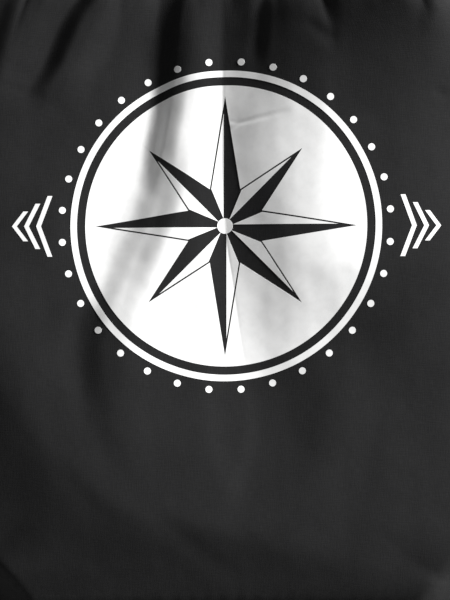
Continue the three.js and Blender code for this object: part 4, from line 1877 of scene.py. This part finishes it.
@dataclass
class Medallion:
    """The white design on the front: a quilt star in a disc, rings of beads and chevrons.

    Attributes:
        form: The bag's shape, which the film follows.
        middle: The design's middle, as x and v.
        disc: Radius of the white disc.
        long_tip: Radius of the star's long points.
        short_tip: Radius of its short points.
        waist: Radius between its points.
        gap: Width of the dark lines inside the star.
        hub: Radius of the dot in the star's middle.
        ring: Inner and outer radius of the white ring.
        beads: Number of beads round the ring.
        bead_circle: Radius of the circle that they stand on.
        bead: Radius of one.
        points_round: Points round the disc and the ring.
        proud: How far the film stands over the cloth.
        film: The film's thickness.
        cell: Usual size of a face.
    """

    form: BagForm
    middle: tuple[float, float] = (0.0, 0.218)
    disc: float = 0.076
    long_tip: float = 0.0705
    short_tip: float = 0.0585
    waist: float = 0.0215
    gap: float = 0.0016
    hub: float = 0.0042
    ring: tuple[float, float] = (0.0805, 0.084)
    beads: int = 32
    bead_circle: float = 0.0888
    bead: float = 0.0019
    points_round: int = 640
    proud: float = 0.00024
    film: float = 0.00012
    cell: float = 0.0016

    def draped(self, flat: Array, faces: Array) -> Surface:
        """Lays flat points on the cloth.

        Args:
            flat: Points measured from the design's middle.
            faces: Corners of each face.

        Returns:
            The film's outer face there.
        """
        x, v = self.middle[0] + flat[:, 0], self.middle[1] + flat[:, 1]
        u = self.form.u_at(x, v)
        cloth = np.stack([u * FLAT_WIDTH / 2, v], -1)
        return Surface(self.form.on_front(x, v, self.proud), faces.tolist(), cloth)

    def band(self, inner: Array, outer: Array, ring: bool) -> Surface:
        """The film between two lines of as many points, both read to the right and seen from outside.

        Args:
            inner: Points of the inner line.
            outer: Points of the outer line.
            ring: Whether the lines are closed.

        Returns:
            The film's outer face between them.
        """
        widest = np.linalg.norm(outer - inner, axis=1).max()
        count = max(2, round(widest / self.cell)) + 1
        shares = np.linspace(0, 1, count)[:, None, None]
        points = (inner + (outer - inner) * shares).reshape(-1, 2)
        return self.draped(points, grid_quads(count, len(inner), ring)[:, ::-1])

    def circle(self, radius: float, angles: Array) -> Array:
        """Points on a circle round the middle."""
        return np.stack([radius * np.cos(angles), radius * np.sin(angles)], -1)

    def tip(self, number: int) -> float:
        """Radius of one of the eight points."""
        return self.long_tip if number % 2 == 0 else self.short_tip

    def star_radius(self, angles: Array) -> Array:
        """Radius of the star's straight-sided outline.

        Args:
            angles: Angles that rise from 0 to a full turn.

        Returns:
            The radius at each angle.
        """
        half = math.pi / 8
        sector = np.minimum((angles / half).astype(int), 15)
        radius = np.empty_like(angles)
        for number in range(16):
            here = sector == number
            start = self.waist if number % 2 else self.tip(number // 2)
            end = self.tip((number + 1) // 2 % 8) if number % 2 else self.waist
            t = angles[here] - number * half
            radius[here] = start * end * math.sin(half) / (start * np.sin(t) + end * np.sin(half - t))
        return radius

    def facet(self, number: int) -> Surface:
        """The white half of one of the star's points, drawn in from its edges by the gap.

        Args:
            number: Which point, from the right round to the left.

        Returns:
            The film's outer face there.
        """
        angle = number * math.pi / 4
        corners = np.array([
            (0.0, 0.0),
            (self.tip(number) * math.cos(angle), self.tip(number) * math.sin(angle)),
            (self.waist * math.cos(angle + math.pi / 8), self.waist * math.sin(angle + math.pi / 8)),
        ])
        sides = np.linalg.norm(np.roll(corners, 1, axis=0) - np.roll(corners, -1, axis=0), axis=1)
        heart = (corners * sides[:, None]).sum(axis=0) / sides.sum()
        (xa, ya), (xb, yb) = corners[1], corners[2]
        inner_radius = abs(xa * yb - xb * ya) / sides.sum()
        corners = heart + (corners - heart) * (1 - self.gap / 2 / inner_radius)
        count = round(np.linalg.norm(corners[1] - corners[0]) / self.cell)
        points, faces = [], []
        for row in range(count + 1):
            for column in range(row + 1):
                share = np.array([count - row, row - column, column]) / count
                points.append(share @ corners)
        for row in range(count):
            for column in range(row + 1):
                here = row * (row + 1) // 2 + column
                below = here + row + 1
                faces.append([here, below, below + 1])
                if column < row:
                    faces.append([here, below + 1, here + 1])
        return self.draped(np.array(points), np.array(faces))

    def dot(self, place: Array, radius: float, count: int) -> Surface:
        """A round dot, made of a square grid drawn into a circle.

        Args:
            place: The dot's middle.
            radius: Its radius.
            count: Points along one side of the grid.

        Returns:
            The film's outer face there.
        """
        a, b = np.meshgrid(np.linspace(-1, 1, count), np.linspace(-1, 1, count))
        points = np.stack([a * np.sqrt(1 - b**2 / 2), b * np.sqrt(1 - a**2 / 2)], -1).reshape(-1, 2)
        return self.draped(place + radius * points, grid_quads(count, count))

    def chevron(self, side: Side, number: int) -> Surface:
        """One chevron beside the rings, which points outwards.

        Args:
            side: The side that it stands on.
            number: Its number from the ring outwards, each smaller than the one before.

        Returns:
            The film's outer face there.
        """
        reach, half, stroke = 0.1 + 0.0066 * number, 0.0165 - 0.0042 * number, 0.0026
        t = np.linspace(-1, 1, 21)
        x = side.value * (reach - 0.0062 * np.abs(t))
        line = np.stack([x, half * t], -1)
        shifted = line + (side.value * stroke, 0.0)
        pair = (line, shifted) if side is Side.LEFT else (shifted, line)
        return self.band(pair[1], pair[0], ring=False)

    def parts(self) -> list[Surface]:
        """Every part of the round design.

        Returns:
            The disc round the star, the ring, the star's white halves, its hub and the beads.
        """
        angles = np.linspace(0, 2 * math.pi, self.points_round, endpoint=False)
        star = self.circle(1.0, angles) * self.star_radius(angles)[:, None]
        parts = [self.band(star, self.circle(self.disc, angles), ring=True)]
        parts.append(self.band(*(self.circle(radius, angles) for radius in self.ring), ring=True))
        parts += [self.facet(number) for number in range(8)]
        parts.append(self.dot(np.zeros(2), self.hub, 9))
        turns = (np.arange(self.beads) + 0.5) * 2 * math.pi / self.beads
        parts += [self.dot(place, self.bead, 7) for place in self.circle(self.bead_circle, turns)]
        return parts

    def build(self, material: bpy.types.Material) -> None:
        """Builds the round design and the chevrons.

        Args:
            material: The film's finish.
        """
        chevrons = [self.chevron(side, number) for side in Side for number in range(3)]
        for name, parts in (("print_medallion", self.parts()), ("print_chevrons", chevrons)):
            obj = joined(parts).piece(name, material)
            thicken(obj, self.film)
            hand_over(obj, "print")


@dataclass
class Studio:
    """The pale floor, the light and the camera.

    Attributes:
        picture_height: Height of the part of the front that the picture shows.
        picture_middle_v: The v in the middle of the picture.
        camera_distance: From the front's surface.
        front_top: Height of the surface that the picture's size is measured on.
        floor_side: Half the floor's width.
        key_place: Where the key light stands.
        key_size: Its width.
        key_power: Watts of the key light.
        fill: Strength of the light from all round.
    """

    picture_height: float = 0.324
    picture_middle_v: float = 0.178
    camera_distance: float = 1.6
    front_top: float = 0.072
    floor_side: float = 6.0
    key_place: tuple[float, float, float] = (3.1, 1.5, 2.05)
    key_size: float = 0.7
    key_power: float = 352.0
    fill: float = 0.175

    def floor(self) -> None:
        """Lays the floor."""
        corners = np.array([(-1, -1, 0), (1, -1, 0), (1, 1, 0), (-1, 1, 0)]) * self.floor_side
        material, graph, shader = started("pale_floor")
        shade = graph.remap(graph.noise(place_of(graph, Coordinates.OBJECT), 30.0), 0.3, 0.7, 0.0, 1.0)
        tones = ((0.5, 0.5, 0.495, 1.0), (0.52, 0.52, 0.515, 1.0))
        graph.feed(shader.inputs["Base Color"], graph.blend(shade, *tones))
        shader.inputs["Roughness"].default_value = 0.7
        stage = Surface(corners - (0, 0, 0.0002), [[0, 1, 2, 3]]).piece("floor", material)

    def lights(self) -> None:
        """Sets the key light and the even fill."""
        world = bpy.data.worlds.new("studio")
        world.use_nodes = True
        background = world.node_tree.nodes["Background"]
        background.inputs["Color"].default_value = (1, 1, 1, 1)
        background.inputs["Strength"].default_value = self.fill
        bpy.context.scene.world = world
        data = bpy.data.lights.new("key_light", "AREA")
        data.size = self.key_size
        data.energy = self.key_power
        key = bpy.data.objects.new("key_light", data)
        key.location = self.key_place
        key.rotation_mode = "QUATERNION"
        key.rotation_quaternion = (-Vector(self.key_place)).to_track_quat("-Z", "Y")
        bpy.context.scene.collection.objects.link(key)

    def camera(self) -> None:
        """Puts the camera straight over the middle of the front."""
        data = bpy.data.cameras.new("camera")
        data.sensor_fit = "VERTICAL"
        data.sensor_height = 36.0
        data.lens = data.sensor_height * self.camera_distance / self.picture_height
        data.clip_start = 0.05
        data.clip_end = 50
        eye = bpy.data.objects.new("camera", data)
        height = self.front_top + self.camera_distance
        eye.location = (0.0, self.picture_middle_v - CLOSED_LENGTH / 2, height)
        bpy.context.scene.collection.objects.link(eye)
        bpy.context.scene.camera = eye

    def build(self) -> None:
        """Builds the stage."""
        bpy.context.scene.view_settings.view_transform = "Standard"
        self.floor()
        self.lights()
        self.camera()


def box_middle(node: str) -> tuple[float, float]:
    """The x and y in the middle of a node's box."""
    low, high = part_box(node)
    return (low.x + high.x) / 2, (low.y + high.y) / 2


def main() -> None:
    """Builds the bag, piece by piece, and the studio round it."""
    logging.basicConfig(level=logging.INFO, format="%(message)s")
    form = BagForm()
    Studio().build()
    middles = {side: box_middle(f"eyelet_{side.label}") for side in Side}
    finishes = finished_materials(middles[Side.RIGHT])
    for face in Face:
        Cloth(form, face, list(middles.values())).build(finishes.cotton)
    SideSeam(form).build(finishes.seam)
    Medallion(form).build(finishes.film)
    sewing = Sewing(form, finishes.thread)
    for face in Face:
        sewing.casing_row(face)
    braid = BraidTree().tree
    for side in Side:
        Drawstring(side, finishes.cord, braid).build()
        CornerPatch(side, middles[side]).build(finishes.patch, sewing)
        Eyelet(side, middles[side]).build(finishes.nickel)


if __name__ == "__main__":
    main()
